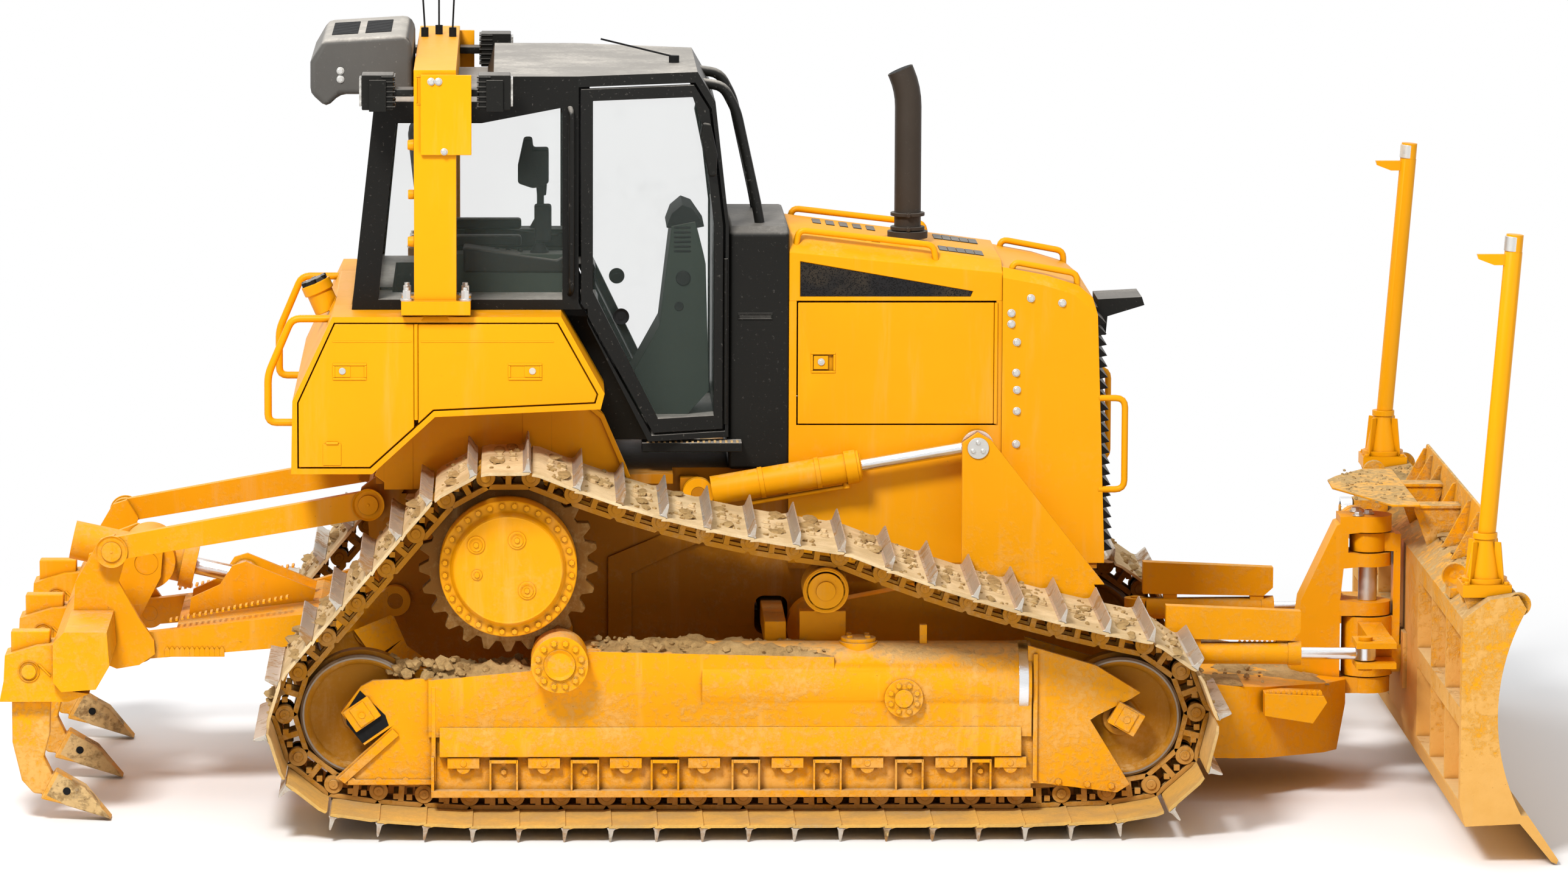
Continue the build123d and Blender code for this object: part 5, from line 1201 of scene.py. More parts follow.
# ================================================================ cab
class BULLDOZER_OT_cab(bpy.types.Operator):
    """Cab frame, glass, doors, roof, cowl, seat, console, cooler, guard and steps"""
    bl_idname = "bulldozer.cab"
    bl_label = "Cab"

    def execute(self, context):
        soften("cab_frame", "black_paint", 0.014)
        dress("cab_glass", "glass")
        for node, finish_name, edge in (("cowl", "cover", 0.016), ("console", "cab_trim", 0.020),
                                        ("air_conditioner", "roof", 0.030),
                                        ("cab_steps", "black_paint", 0.003)):
            soften(node, finish_name, edge)
        for name, side in SIDES:
            soften(f"cab_door_{name}", "black_paint", 0.010)
            dress(f"cab_door_glass_{name}", "glass")
            pieces((("door_handle", self.door_handle, "deep_black", 0.002, f"cab_door_{name}"),), name, side)
            self.tubes(name, side)
            pieces((("step_tread", self.treads, "tip_steel", 0.001),
                    ("cowl_louvre", self.cowl_trim, "cover", 0.003)), name, side)
        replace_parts(bpy.data.objects["guard_tube_right"], "cab_guard")
        pieces((("cooler_grilles", self.cooler_grilles, "deep_black", 0.002),
                ("cooler_bolts", self.cooler_bolts, "zinc", 0.001),
                ("levers", self.levers, "deep_black", 0.004),
                ("mirrors", self.mirrors, "cover", 0.010),
                ("lever_consoles", self.armrests, "cover", 0.014),
                ("monitor", self.monitor, "deep_black", 0.010),
                ("dash_trim", self.dash, "deep_black", 0.004)))
        self.seat()
        return {"FINISHED"}

    @shape
    def door_handle(self, bm, side):
        """A round recess with the latch's button in it."""
        out = ACROSS * side
        centre = at(0.470, side * 0.722, 2.080)
        add_ring(bm, centre, out, 0.034, 0.022, 0.012, 28)
        add_disc(bm, centre - out * 0.02, out, 0.014, 0.024, 16)

    def tubes(self, name, side):
        """The grab bar beside the door, and the guard from the roof down to the cowl."""
        y = side * 0.830
        foot = y - side * 0.045
        bar = ((0.255, foot, 2.180), (0.262, y, 2.200), (0.262, y, 2.940), (0.255, foot, 2.960))
        add_tube(f"cab_grab_bar_{name}", bar, 0.013, "black_paint", "chassis", 0.018)
        line = ((0.800, 3.020), (0.905, 3.005), (0.960, 2.900), (1.050, 2.487), (1.060, 2.427))
        guard = [(x, side * 0.300, z) for x, z in line]
        add_tube(f"guard_tube_{name}", guard, 0.0215, "black_paint", "chassis", 0.04)

    @shape
    def treads(self, bm, side):
        """Saw-toothed strips on the step."""
        for k in range(17):
            x = 0.580 + 0.0235 * k
            add_block(bm, (x, x + 0.010), (0.545, 0.595), (1.529, 1.5345), side)

    @shape
    def cowl_trim(self, bm, side):
        """A framed louvre in the cowl's flank."""
        add_frame(bm, (0.965, 1.110), (2.035, 2.065), 0.006, (0.474, 0.4845), side)
        for k in range(5):
            z = 2.040 + 0.005 * k
            add_block(bm, (0.970, 1.105), (0.478, 0.4825), (z, z + 0.002), side)

    @shape
    def cooler_grilles(self, bm):
        """Two slotted panels let into the cooler's sloping top."""
        for x0, x1 in ((-0.740, -0.630), (-0.600, -0.490)):
            for k in range(12):
                y = -0.30 + 0.05 * k
                z = 3.222 + 0.06 * (x0 + 0.77)
                add_block(bm, (x0, x1), (y, y + 0.030), (z - 0.006, z + 0.0005), 1, 0.06)

    @shape
    def cooler_bolts(self, bm):
        """Two bolts in each flank of the cooler."""
        for side in (-1, 1):
            for z in (3.050, 3.085):
                add_bolt(bm, at(-0.700, side * 0.499, z), ACROSS * side, 0.013)

    @shape
    def levers(self, bm):
        """Two control levers with knobs and the gaiters they stand in, and a row of switches."""
        x = 0.130
        for y in (-0.47, 0.47):
            add_disc(bm, at(x, y, 2.318), UP, 0.042, 0.040, 20, 0.020)
            add_disc(bm, at(x, y, 2.350), UP + FORWARD * 0.1, 0.010, 0.120, 12)
            add_disc(bm, at(x + 0.012, y, 2.460), UP, 0.020, 0.050, 16, 0.024)
        for k in range(4):
            add_disc(bm, at(-0.10 + 0.05 * k, -0.44, 2.319), UP, 0.012, 0.016, 12)

    @shape
    def mirrors(self, bm):
        """Rear-view mirrors on stalks from the front posts."""
        for side in (-1, 1):
            add_plate(bm, [(0.812, 2.878), (0.846, 2.872), (0.874, 2.744), (0.869, 2.652), (0.838, 2.650),
                           (0.802, 2.826)], 0.545, 0.590, side)
            add_disc(bm, at(0.840, side * 0.500, 2.760), ACROSS * side, 0.010, 0.06, 12)

    @shape
    def armrests(self, bm):
        """The leaning consoles that the levers stand on."""
        for side in (-1, 1):
            add_plate(bm, [(-0.190, 2.352), (0.200, 2.300), (0.235, 2.318), (0.250, 2.240), (-0.190, 2.240)],
                      0.392, 0.548, side)

    @shape
    def monitor(self, bm):
        """The display on its post beside the right console, and the box under it."""
        add_plate(bm, [(0.040, 2.601), (0.040, 2.667), (0.066, 2.787), (0.101, 2.787), (0.105, 2.743),
                       (0.170, 2.744), (0.170, 2.601), (0.105, 2.579)], -0.390, -0.250)
        add_block(bm, (0.120, 0.150), (0.330, 0.360), (2.460, 2.610), -1)
        add_block(bm, (0.109, 0.181), (0.400, 0.500), (2.366, 2.519), -1)

    @shape
    def dash(self, bm):
        """Air vents, a hood over the gauges and the knobs on the instrument tower."""
        for side in (-1, 1):
            for k in range(6):
                z = 2.290 + 0.020 * k
                add_block(bm, (0.700, 0.772), (0.206, 0.2135), (z, z + 0.010), side)
            add_disc(bm, at(0.740, side * 0.206, 2.180), ACROSS * side, 0.034, 0.012, 28, 0.030)
            add_disc(bm, at(0.722, side * 0.206, 2.060), ACROSS * side, 0.020, 0.010, 20)
        add_plate(bm, [(0.668, 2.392), (0.690, 2.452), (0.735, 2.490), (0.778, 2.474), (0.830, 2.398),
                       (0.800, 2.392)], -0.195, 0.195)

    def seat(self):
        """The operator's seat: stuffed cushion and back on a suspension box, with two armrests."""
        deck = 1.900

        def seam(distance):
            """Depth of the groove that a seam draws in, at a distance from it."""
            return 0.010 * math.exp(-(distance / 0.014) ** 2)

        def cushion_seams(spot):
            return seam(min(abs(abs(spot.y) - 0.150), abs(spot.x - (AXLE_X - 0.070)) + 0.02))

        def back_seams(spot):
            return seam(min(abs(abs(spot.y) - 0.140), abs(spot.z - deck - 0.620) + 0.01))

        cushion, back, base = bmesh.new(), bmesh.new(), bmesh.new()
        add_box(cushion, at(-0.325, -0.245, deck + 0.200), at(0.128, 0.245, deck + 0.300))
        add_plate(back, [(-0.343, deck + 0.335), (-0.412, deck + 0.955), (-0.345, deck + 0.972),
                         (-0.232, deck + 0.335)], -0.225, 0.225)
        add_block(base, (-0.325, 0.055), (-0.215, 0.215), (deck + 0.001, deck + 0.110))
        add_block(base, (-0.300, 0.030), (-0.190, 0.190), (deck + 0.110, deck + 0.182))
        for side in (-1, 1):
            add_block(base, (-0.325, 0.055), (0.292, 0.358), (deck + 0.432, deck + 0.478), side)
            add_block(base, (-0.352, -0.318), (0.235, 0.330), (deck + 0.350, deck + 0.470), side)
        seat = stuffed("seat_cushion", cushion, "cloth", "chassis", 0.022, cushion_seams)
        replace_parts(seat, "operator_seat")
        stuffed("seat_back", back, "cloth", "chassis", 0.022, back_seams)
        piece("seat_base", base, "cover", "chassis", 0.012)


# ================================================================ fenders, tank and roll bar
FENDER_LATCHES = (("rear", -0.654, 1), ("front", 0.070, -1))      # door, place along, way the paddle lies
CREASES = {"rear": (-0.725, -0.400), "front": (-0.360, 0.188)}    # along each fender door
POST_X, POST_Y = -0.300, 0.940                                    # the roll bar's post


class BULLDOZER_OT_fenders(bpy.types.Operator):
    """Fenders with their doors, rear tank, roll bar, lamps and antennas"""
    bl_idname = "bulldozer.fenders"
    bl_label = "Fenders and roll bar"

    def execute(self, context):
        for node, finish_name, edge in (("fenders", "body_paint", 0.014), ("rear_tank", "body_paint", 0.020),
                                        ("rops_bar", "body_paint", 0.018), ("work_lights", "cover", 0.010),
                                        ("antennas", "deep_black", 0.001)):
            soften(node, finish_name, edge)
        for name, side in SIDES:
            doors = {door: f"{door}_fender_door_{name}" for door in CREASES}
            for body in doors.values():
                soften(body, "body_paint", 0.004)
            for door, x, way in FENDER_LATCHES:
                piece(f"{door}_latch_{name}", self.latch(x, way, side), "body_paint", doors[door], 0.003)
                piece(f"{door}_lock_{name}", self.lock(x, way, side), "zinc", doors[door], 0.001)
            pieces((("fuel_flap", self.flap, "body_paint", 0.002, doors["rear"]),
                    ("roll_bar_bolts", self.bolts, "zinc", 0.0015),
                    ("roll_bar_trim", self.roll_bar_trim, "body_paint", 0.004),
                    ("post_ring", self.post_ring, "body_paint", 0.003),
                    ("fender_apron", self.apron, "body_paint", 0.003)), name, side)
            for door, body in doors.items():
                piece(f"{door}_door_line_{name}", self.door_line(door, side), "body_paint", body, 0.001)
            pieces((("post_rubber", self.rubber, "rubber", 0.006),
                    ("lamp_trim", self.lamp_fins, "cover", 0.002),
                    ("lamp_lenses", self.lenses, "lens", 0.002)), name, side)
        pieces((("tank_cap", self.cap, "cover", 0.003),))
        return {"FINISHED"}

    @shape
    def latch(self, bm, x, way, side):
        """A frame round the latch's dish, and the paddle that fills one half of it."""
        add_frame(bm, (x - 0.070, x + 0.070), (1.855, 1.925), 0.010, (1.043, 1.0545), side)
        paddle = (x - 0.058 * (way > 0) - 0.004, x + 0.004 + 0.058 * (way < 0))
        add_block(bm, paddle, (1.040, 1.0525), (1.866, 1.914), side)

    @shape
    def lock(self, bm, x, way, side):
        """The key lock above the latch's paddle."""
        add_disc(bm, at(x - way * 0.030, side * 1.0515, 1.893), ACROSS * side, 0.014, 0.005, 20)

    @shape
    def flap(self, bm, side):
        """A small flap low on the rear door, with its hinge pin."""
        add_block(bm, (-0.765, -0.690), (1.046, 1.0535), (1.500, 1.590), side)
        add_disc(bm, at(-0.752, side * 1.054, 1.592), FORWARD, 0.006, 0.050, 12)

    @shape
    def bolts(self, bm, side):
        """Bolts on the roll bar's flank, and the studs and nuts round its post's foot."""
        out = ACROSS * side
        for x in (-0.315, -0.285):
            add_bolt(bm, at(x, side * 1.0945, 3.095), out, 0.013)
        add_bolt(bm, at(-0.262, side * 1.0945, 2.806), out, 0.012)
        for x in (-0.418, -0.178):
            for y in (0.885, 1.060):
                # washer, nut and stud: height, radius, depth, sides, radius at the top
                for z, radius, depth, sides, top in ((2.186, 0.026, 0.010, 24, 0.026),
                                                     (2.194, 0.019, 0.036, 6, 0.018),
                                                     (2.228, 0.012, 0.014, 12, 0.012)):
                    add_disc(bm, at(x, side * y, z), UP, radius, depth, sides, top)

    @shape
    def roll_bar_trim(self, bm, side):
        """Three bosses on the post's rear and the frame round the beam's end plate."""
        for z in (2.825, 2.425):
            add_disc(bm, at(-0.386, side * 1.000, z), -FORWARD, 0.024, 0.028, 20, 0.020)
        add_disc(bm, at(-0.386, side * 1.000, 2.620), -FORWARD, 0.020, 0.026, 20)
        add_frame(bm, (-0.378, -0.222), (2.996, 3.118), 0.008, (1.070, 1.0780), side)

    @shape
    def post_ring(self, bm, side):
        """The collar that the roll bar's post stands in, let into the fender's top."""
        add_disc(bm, at(POST_X, side * POST_Y, 2.100), UP, 0.126, 0.022, 56, 0.118)

    @shape
    def apron(self, bm, side):
        """Sheet under the fender, between the track and the cab's tub."""
        add_plate(bm, [(-0.560, 1.400), (-0.400, 1.720), (0.350, 1.720), (0.400, 1.657), (0.494, 1.438),
                       (0.512, 1.392), (0.450, 1.340), (-0.480, 1.340)], 0.627, 0.643, side)
        add_plate(bm, [(0.340, 1.700), (0.400, 1.657), (0.494, 1.438), (0.512, 1.392), (0.494, 1.385),
                       (0.385, 1.640), (0.330, 1.686)], 0.640, 0.656, side)

    @shape
    def door_line(self, bm, door, side):
        """The crease pressed along a door's top."""
        add_block(bm, CREASES[door], (1.046, 1.0520), (2.012, 2.018), side)

    @shape
    def rubber(self, bm, side):
        """The rubber seal inside the collar."""
        add_disc(bm, at(POST_X, side * POST_Y, 2.117), UP, 0.112, 0.016, 48)

    @shape
    def lamp_fins(self, bm, side):
        """Cooling fins on the flood lamps' backs, and the yoke on each lamp's flank."""
        # the lamp's range along, and its fins'
        for (x0, x1), fins in (((-0.600, -0.470), (-0.520, -0.462)), ((-0.120, 0.010), (-0.128, -0.070))):
            for k in range(7):
                z = 2.985 + 0.0205 * k
                add_block(bm, fins, (0.918, 1.082), (z, z + 0.006), side)
            add_block(bm, (x0 + 0.03, x1 - 0.03), (1.078, 1.090), (2.970, 3.100), side)

    @shape
    def lenses(self, bm, side):
        """The ribbed glass on the front of each flood lamp."""
        for x, way in ((-0.6005, -1), (0.0105, 1)):
            add_block(bm, (x, x + way * 0.010), (0.935, 1.065), (2.990, 3.105), side)

    @shape
    def cap(self, bm):
        """The tank's filler cap, with six grips round it."""
        start, along = at(-0.812, -0.350, 2.174), Vector((-0.018, 0, 0.041)).normalized()
        add_disc(bm, start, along, 0.058, 0.022, 28, 0.050)
        for k in range(6):
            turn = math.pi * k / 3
            side, front = ACROSS * math.cos(turn), along.cross(ACROSS) * math.sin(turn)
            add_disc(bm, start + (side + front) * 0.050, along, 0.012, 0.024, 10)


# ================================================================ blade and its linkage
LIFT_REAR, LIFT_FRONT, LIFT_Y = (0.798, 1.310), (1.971, 1.512), 0.553     # a lift cylinder's pins
MAST_Y = 1.850
KINGPIN_X = 3.690


class BULLDOZER_OT_blade(bpy.types.Operator):
    """C-frame, yoke, blade, masts and the cylinders that move them"""
    bl_idname = "bulldozer.blade"
    bl_label = "Blade and C-frame"

    def execute(self, context):
        for node, finish_name, edge in (("c_frame", "arm_paint", 0.010), ("blade_yoke", "arm_paint", 0.008),
                                        ("blade", "blade_paint", 0.008),
                                        ("blade_masts", "clean_paint", 0.004)):
            soften(node, finish_name, edge)
        for barrel in ("lift_barrels", "tilt_barrel", "angle_barrel_left", "angle_barrel_right"):
            soften(barrel, "arm_paint", 0.004)
        for rod in ("lift_rods", "tilt_rod", "angle_rod_left", "angle_rod_right"):
            soften(rod, "chrome", 0.002)
        for name, side in SIDES:
            pieces((("lift_pin_cap", self.pin_cap, "zinc", 0.002, "c_frame"),
                    ("lift_gland", self.gland, "arm_paint", 0.002, "lift_barrels"),
                    ("mast_gussets", self.gussets, "clean_paint", 0.003, "blade"),
                    ("mast_tip", self.mast_tip, "zinc", 0.002, "blade"),
                    ("blade_eye", self.eye, "blade_paint", 0.003, "blade"),
                    ("mast_bracket", self.mast_bracket, "blade_paint", 0.003, "blade")), name, side)
        pieces((("tower_bolts", self.tower_bolts, "zinc", 0.002, "c_frame"),
                ("nose_steps", self.nose_steps, "arm_paint", 0.003, "c_frame"),
                ("nose_box_mud", self.nose_mud, "mud", 0.0, "c_frame"),
                ("blade_mud", self.blade_mud, "mud", 0.0, "blade"),
                ("blade_top_guard", self.top_guard, "blade_paint", 0.003, "blade"),
                ("kingpin", self.kingpin, "zinc", 0.002, "c_frame")))
        return {"FINISHED"}

    @shape
    def pin_cap(self, bm, side):
        """The cap on a lift cylinder's front pin, with three bolts."""
        (x, z), out = LIFT_FRONT, ACROSS * side
        add_disc(bm, at(x, side * 0.634, z), out, 0.045, 0.008, 32)
        for spot in around(at(x, side * 0.642, z), 0.024, 3, 0.75):
            add_bolt(bm, spot, out, 0.009)

    @shape
    def gland(self, bm, side):
        """The gland's flange with its bolts and the hard line that runs under the barrel."""
        rear, front = (at(x, side * LIFT_Y, z) for x, z in (LIFT_REAR, LIFT_FRONT))
        along = (front - rear).normalized()
        add_disc(bm, rear + along * 0.628, along, 0.071, 0.050, 40)
        add_disc(bm, rear + along * 0.668, along, 0.058, 0.028, 40, 0.050)
        below = Vector((along.z, 0, -along.x))
        add_disc(bm, rear + along * 0.20 + below * 0.078, along, 0.010, 0.42, 12)
        for reach in (0.26, 0.50):
            add_disc(bm, rear + along * reach, along, 0.066, 0.020, 32)
        add_disc(bm, rear + along * 0.62 + below * 0.055, below, 0.016, 0.030, 12)

    @shape
    def gussets(self, bm, side):
        """Four upright ribs round each mast's foot and the bolts of its base."""
        middle = at(3.958, side * MAST_Y, 1.135)
        for k in range(4):
            turn = math.pi / 4 + math.pi * k / 2
            verts = add_block_at(bm, middle + Vector((0, 0, 0.085)), (0.030, 0.008, 0.170))
            for vert in verts:
                if vert.co.z < middle.z + 0.05:
                    vert.co.x += 0.020 if vert.co.x > middle.x else 0.0
            bmesh.ops.translate(bm, vec=(0.066, 0, 0), verts=verts)
            bmesh.ops.rotate(bm, cent=middle, matrix=Matrix.Rotation(turn, 3, "Z"), verts=verts)
        add_disc(bm, middle - UP * 0.001, UP, 0.092, 0.022, 40)
        add_disc(bm, middle + UP * 0.178, UP, 0.050, 0.024, 32)
        for dx in (-0.080, 0.080):
            for dy in (-0.080, 0.080):
                add_bolt(bm, middle + Vector((dx, dy, 0)), UP, 0.012)

    @shape
    def mast_tip(self, bm, side):
        """The bright socket at a mast's top."""
        add_disc(bm, at(4.0495, side * MAST_Y, 2.484), Vector((0.0775, 0, 1)), 0.0358, 0.060, 32)

    @shape
    def eye(self, bm, side):
        """A lifting eye on the blade's back edge and the lug at its end's top corner."""
        out = ACROSS * side
        add_block(bm, (3.852, 3.960), (1.430, 1.560), (1.020, 1.062), side)
        add_ring(bm, at(3.880, side * 1.480, 1.105), out, 0.052, 0.020, 0.030, 32)
        add_ring(bm, at(4.078, side * 2.010, 1.070), out, 0.048, 0.020, 0.0285, 32)

    @shape
    def mast_bracket(self, bm, side):
        """The flared bracket that carries each mast's base plate off the blade's back."""
        for y in (1.765, 1.925):
            add_plate(bm, [(3.862, 1.112), (3.862, 1.090), (3.925, 0.930), (3.990, 0.930), (4.050, 1.112)],
                      y, y + 0.012, side)

    @shape
    def top_guard(self, bm):
        """The raised guard along the blade's top with its stays, and the cover over the tilt cylinder."""
        sheet = ((4.030, -1.15, 1.095), (4.055, -1.0, 1.300), (4.055, 1.0, 1.300), (4.030, 1.15, 1.095))
        add_slab(bm, [at(*corner) for corner in sheet], FORWARD * 0.012)
        for y in (-0.95, -0.62, -0.10, 0.42, 0.74, 0.97):
            add_plate(bm, [(3.930, 1.085), (4.034, 1.090), (4.056, 1.285), (4.040, 1.285)], y, y + 0.012)
        top = 1.222
        for y in (0.300, -0.340):
            add_plate(bm, [(3.848, top), (3.848, top - 0.022), (3.915, 1.020), (3.990, 1.060),
                           (4.050, top - 0.022), (4.050, top)], y, y + 0.014)
            add_block_at(bm, at(3.950, y + 0.050, top - 0.004), (0.204, 0.120, 0.014))
        cover = ((3.545, 0.310), (3.590, 0.420), (3.730, 0.640), (3.860, 0.640),
                 (3.860, -0.440), (3.740, -0.440), (3.620, -0.120), (3.540, 0.080))
        add_slab(bm, [at(x, y, 1.232) for x, y in cover], UP * 0.010)

    @shape
    def tower_bolts(self, bm):
        """The bolts on top of the C-frame's tower."""
        for x, y in ((KINGPIN_X, 0.0), (3.640, 0.060), (3.640, -0.060)):
            add_bolt(bm, at(x, y, 1.1375), UP, 0.020)

    @shape
    def kingpin(self, bm):
        """The upright pin that the yoke turns on, where it shows in the tower."""
        add_disc(bm, at(KINGPIN_X, 0, 0.766), UP, 0.0405, 0.152, 32)

    @shape
    def nose_steps(self, bm):
        """The two toothed steps on the flanks of the C-frame's nose."""
        for side in (-1, 1):
            add_plate(bm, [(3.188, 0.470), (3.440, 0.458), (3.455, 0.430), (3.395, 0.340), (3.190, 0.372)],
                      0.490, 0.660, side)
            for k in range(11):
                x = 3.195 + 0.022 * k
                add_plate(bm, [(x, 0.452), (x, 0.474), (x + 0.009, 0.484), (x + 0.018, 0.474),
                               (x + 0.018, 0.452)], 0.640, 0.652, side)

    @shape
    def nose_mud(self, bm):
        """Soil lying on the C-frame's nose, where it is level and where it slopes down."""
        chance, top = Random(8), 0.502
        add_soil_bed(bm, (-0.30, 0.30), (3.00, 3.50), lambda x: top - (x - 3.0) * 0.107, 0.016, 2.0)
        add_soil_bed(bm, (-0.62, -0.34), (2.86, 3.10), lambda x: top, 0.014, 3.0)
        add_soil_bed(bm, (0.34, 0.62), (2.86, 3.10), lambda x: top, 0.014, 5.0)

        def on_nose():
            return at(chance.uniform(2.90, 3.20), chance.uniform(-0.55, 0.55), top)

        add_crumbs(bm, chance, on_nose, 60, 0.005, 0.014)

    @shape
    def blade_mud(self, bm):
        """Crumbs and cakes on the sloping top of the blade, and crumbs on the tilt cylinder's cover."""
        chance = Random(4)

        def on_top():
            x = chance.uniform(3.965, 4.065)
            return at(x, chance.uniform(-1.72, 1.72), 1.090 + (x - 3.96) * 0.15)

        def on_cover():
            return at(chance.uniform(3.60, 3.85), chance.uniform(-0.40, 0.60), 1.243)

        add_crumbs(bm, chance, on_top, 170, 0.004, 0.013)
        for k in range(26):
            y = chance.uniform(-1.70, 1.70)
            add_clump(bm, at(3.985, y, 1.100), (0.040, chance.uniform(0.05, 0.11), 0.018), k * 3.7)
        add_crumbs(bm, chance, on_cover, 60, 0.003, 0.010)


# ================================================================ ripper
SHANKS_Y = (-0.960, 0.0, 0.960)
LINK_PINS = {"link_pin_caps": ("chassis", -0.588, 1.266), "upper_pin_caps": ("toolbar", -1.665, 1.068)}
CAP_Y = 0.584


class BULLDOZER_OT_ripper(bpy.types.Operator):
    """Ripper beam, links, toolbar, shanks and cylinders"""
    bl_idname = "bulldozer.ripper"
    bl_label = "Ripper"

    def execute(self, context):
        for node, edge in (("ripper_beam", 0.008), ("upper_links", 0.008), ("ripper_toolbar", 0.026),
                           ("ripper_barrel", 0.006)):
            soften(node, "ripper_paint", edge)
        soften("ripper_shanks", "shank_paint", 0.008)
        soften("ripper_rod", "chrome", 0.002)
        for name, side in SIDES:
            for title, (body, x, z) in LINK_PINS.items():
                piece(f"{title}_{name}", self.link_cap(x, z, side), "ripper_paint", body, 0.002)
        pieces((("pocket_pins", self.pocket_pins, "ripper_paint", 0.002, "toolbar"),
                ("tip_pins", self.tip_pins, "deep_black", 0.001, "toolbar"),
                ("beam_ribs", self.beam_ribs, "ripper_paint", 0.001, body_of("ripper_beam")),
                ("tips", self.tips, "tip_steel", 0.006, "toolbar")))
        return {"FINISHED"}

    @shape
    def link_cap(self, bm, x, z, side):
        """The stepped end of an upper link's pin, with its grease nipple."""
        out = ACROSS * side
        add_ring(bm, at(x, side * CAP_Y, z), out, 0.068, 0.058, 0.010, 40)
        add_disc(bm, at(x, side * CAP_Y, z), out, 0.042, 0.012, 36)
        add_disc(bm, at(x, side * (CAP_Y + 0.011), z), out, 0.006, 0.004, 12)

    @shape
    def pocket_pins(self, bm):
        """The pins that hold the shanks in their pockets, with their keepers."""
        for y in SHANKS_Y:
            for side in (-1, 1):
                start, out = at(-1.985, y + side * 0.094, 0.640), ACROSS * side
                add_ring(bm, start, out, 0.044, 0.036, 0.008, 32)
                add_disc(bm, start, out, 0.030, 0.016, 28)
                keeper = start + FORWARD * 0.040 + UP * 0.030 + out * 0.004
                add_disc(bm, keeper, FORWARD - UP, 0.004, 0.070, 8)

    @shape
    def tip_pins(self, bm):
        """The dark heads of the pins that hold the points."""
        for y in SHANKS_Y:
            for side in (-1, 1):
                add_disc(bm, at(-1.835, y + side * 0.053, 0.128), ACROSS * side, 0.017, 0.004, 20, 0.014)

    @shape
    def beam_ribs(self, bm):
        """Grip ribs along the beam's top edges and the toothed strip on its flank."""
        for side in (-1, 1):
            for k in range(21):
                x = -1.430 + 0.0245 * k
                z = 0.748 + (x + 1.456) * 0.1985
                add_block(bm, (x, x + 0.011), (0.395, 0.468), (z - 0.004, z + 0.005), side, 0.196)
            for k in range(12):
                x = -1.450 + 0.021 * k
                add_plate(bm, [(x, 0.604), (x, 0.634), (x + 0.0105, 0.650), (x + 0.021, 0.634),
                               (x + 0.021, 0.604)], 0.474, 0.484, side)

    @shape
    def tips(self, bm):
        """Bare wedge points over the shanks' noses."""
        for y in SHANKS_Y:
            add_plate(bm, [(-1.925, 0.108), (-1.872, 0.205), (-1.760, 0.140), (-1.652, 0.008),
                           (-1.838, 0.066)], y - 0.0535, y + 0.0535)


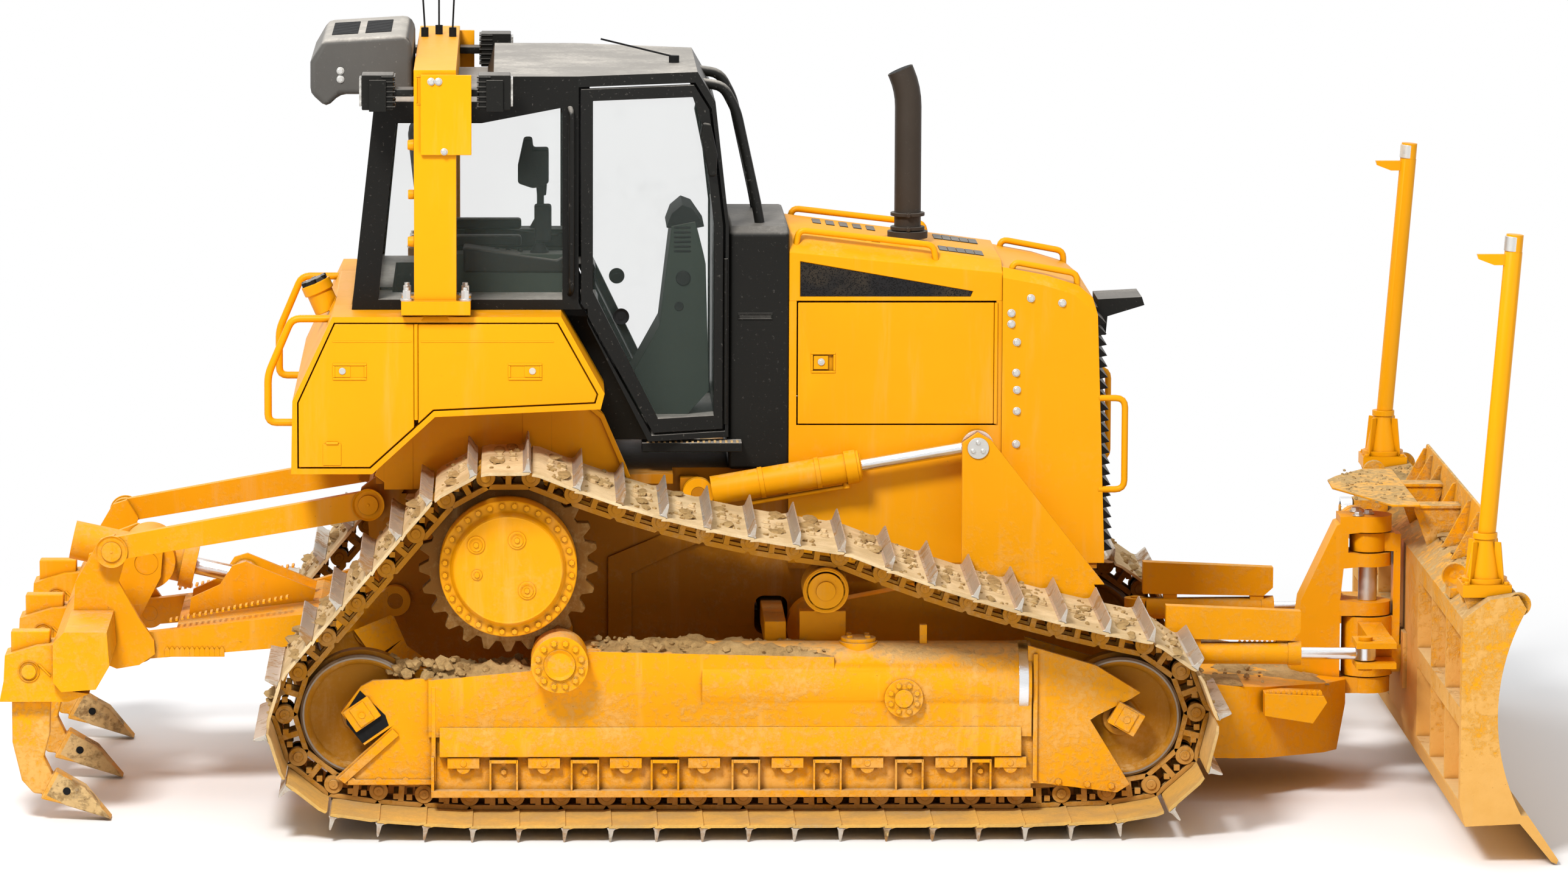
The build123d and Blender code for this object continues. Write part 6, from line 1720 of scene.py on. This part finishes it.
# ================================================================ stage
class BULLDOZER_OT_stage(bpy.types.Operator):
    """Pale floor, soft studio light and the camera"""
    bl_idname = "bulldozer.stage"
    bl_label = "Stage"

    def execute(self, context):
        self.floor()
        self.lights(context)
        self.sky(context)
        self.camera(context)
        return {"FINISHED"}

    def floor(self):
        """A floor wide enough to reach past every view."""
        bm = bmesh.new()
        bmesh.ops.create_grid(bm, x_segments=1, y_segments=1, size=120.0)
        FINISHES["studio_floor"] = self.floor_finish()
        thing = laid_out("studio_floor", mesh_of("studio_floor", bm), "studio_floor")

    def floor_finish(self):
        """Pale floor that keeps its shadows near the machine and runs out to plain white."""
        f = Finish("studio_floor")
        shade = f.done((0.88, 0.88, 0.88), 0.9, gloss=0.1)
        flat = f.node("VectorMath", {"operation": "MULTIPLY"}, {0: f.place, 1: (1.0, 1.0, 0.0)})
        away = f.node("VectorMath", {"operation": "LENGTH"}, {0: flat}, output="Value")
        white = f.node("Emission", {}, {"Color": (1.0, 1.0, 1.0), "Strength": 1.0})
        output = next(n for n in f.tree.nodes if n.type == "OUTPUT_MATERIAL")
        body = Value(f.tree, f.shader.outputs[0])
        mixed = f.node("MixShader", {}, {0: f.rise(away, 3.6, 6.5) * plain_view(f.tree), 1: body, 2: white})
        join(f.tree, output.inputs["Surface"], mixed)
        return shade

    def lights(self, context):
        """Four area lamps that face the machine's middle."""
        middle = at(1.0, 0.0, 1.2)
        # name, place from the machine's middle, size, watts
        rows = (("key", (-4.5, -10.0, 10.5), 3.0, 2150.0), ("fill", (9.0, -9.0, 4.0), 8.0, 230.0),
                ("top", (0.0, 1.0, 12.0), 9.0, 520.0), ("back", (-6.0, 10.0, 7.0), 7.0, 420.0))
        for name, place, size, watts in rows:
            data = bpy.data.lights.new(name, "AREA")
            data.size = size
            data.energy = watts
            lamp = bpy.data.objects.new(name, data)
            lamp.location = middle + Vector(place)
            lamp.rotation_euler = (middle - lamp.location).to_track_quat("-Z", "Y").to_euler()
            context.scene.collection.objects.link(lamp)

    def sky(self, context):
        """A dim even sky that looks plain white wherever it is seen."""
        world = bpy.data.worlds.new("studio")
        context.scene.world = world
        world.use_nodes = True
        tree = world.node_tree
        tree.nodes.clear()
        output = tree.nodes.new("ShaderNodeOutputWorld")
        light, white = tree.nodes.new("ShaderNodeBackground"), tree.nodes.new("ShaderNodeBackground")
        light.inputs[0].default_value = (0.93, 0.96, 1.0, 1.0)
        light.inputs[1].default_value = 0.40
        white.inputs[0].default_value = (1.0, 1.0, 1.0, 1.0)
        pick = tree.nodes.new("ShaderNodeMixShader")
        join(tree, pick.inputs[0], plain_view(tree))
        tree.links.new(light.outputs[0], pick.inputs[1])
        tree.links.new(white.outputs[0], pick.inputs[2])
        tree.links.new(pick.outputs[0], output.inputs[0])
        context.scene.view_settings.view_transform = "Standard"

    def camera(self, context):
        """A long lens, raised a little and nearly square to the machine's right side."""
        data = bpy.data.cameras.new("camera")
        data.lens = 176.05
        data.sensor_width = 36.0
        data.clip_end = 400.0
        camera = bpy.data.objects.new("camera", data)
        camera.location = at(0.0457, -32.467, 5.980)
        pan, tilt, roll = (math.radians(angle) for angle in (-1.996, 90 - 7.927, 0.244))
        turn = Matrix.Rotation(pan, 4, "Z") @ Matrix.Rotation(tilt, 4, "X") @ Matrix.Rotation(roll, 4, "Z")
        camera.matrix_world = Matrix.Translation(camera.location) @ turn
        context.scene.collection.objects.link(camera)
        context.scene.camera = camera


# ================================================================ add-on
GROUPS = (TrackSizes, TrimSizes, PaintColours)
OPERATORS = (BULLDOZER_OT_tracks, BULLDOZER_OT_undercarriage, BULLDOZER_OT_hull, BULLDOZER_OT_cab,
             BULLDOZER_OT_fenders, BULLDOZER_OT_blade, BULLDOZER_OT_ripper, BULLDOZER_OT_stage)


class BULLDOZER_PT_pieces(bpy.types.Panel):
    """Sizes, colours and one button for each group of pieces"""
    bl_idname = "BULLDOZER_PT_pieces"
    bl_label = "Crawler bulldozer"
    bl_space_type = "VIEW_3D"
    bl_region_type = "UI"
    bl_category = "Bulldozer"

    def draw(self, context):
        for settings in (sizes(), trim(), colours()):
            for name in settings.bl_rna.properties.keys():
                if name not in ("rna_type", "name"):
                    self.layout.prop(settings, name)
        for operator in OPERATORS:
            self.layout.operator(operator.bl_idname)


def register():
    for item in (*GROUPS, *OPERATORS, BULLDOZER_PT_pieces):
        bpy.utils.register_class(item)
    bpy.types.Scene.bulldozer_track = PointerProperty(type=TrackSizes)
    bpy.types.Scene.bulldozer_trim = PointerProperty(type=TrimSizes)
    bpy.types.Scene.bulldozer_paint = PointerProperty(type=PaintColours)


def unregister():
    del bpy.types.Scene.bulldozer_paint
    del bpy.types.Scene.bulldozer_trim
    del bpy.types.Scene.bulldozer_track
    for item in reversed((*GROUPS, *OPERATORS, BULLDOZER_PT_pieces)):
        bpy.utils.unregister_class(item)


def main():
    register()
    bpy.ops.bulldozer.tracks()
    bpy.ops.bulldozer.undercarriage()
    bpy.ops.bulldozer.hull()
    bpy.ops.bulldozer.cab()
    bpy.ops.bulldozer.fenders()
    bpy.ops.bulldozer.blade()
    bpy.ops.bulldozer.ripper()
    bpy.ops.bulldozer.stage()


if __name__ == "__main__":
    main()
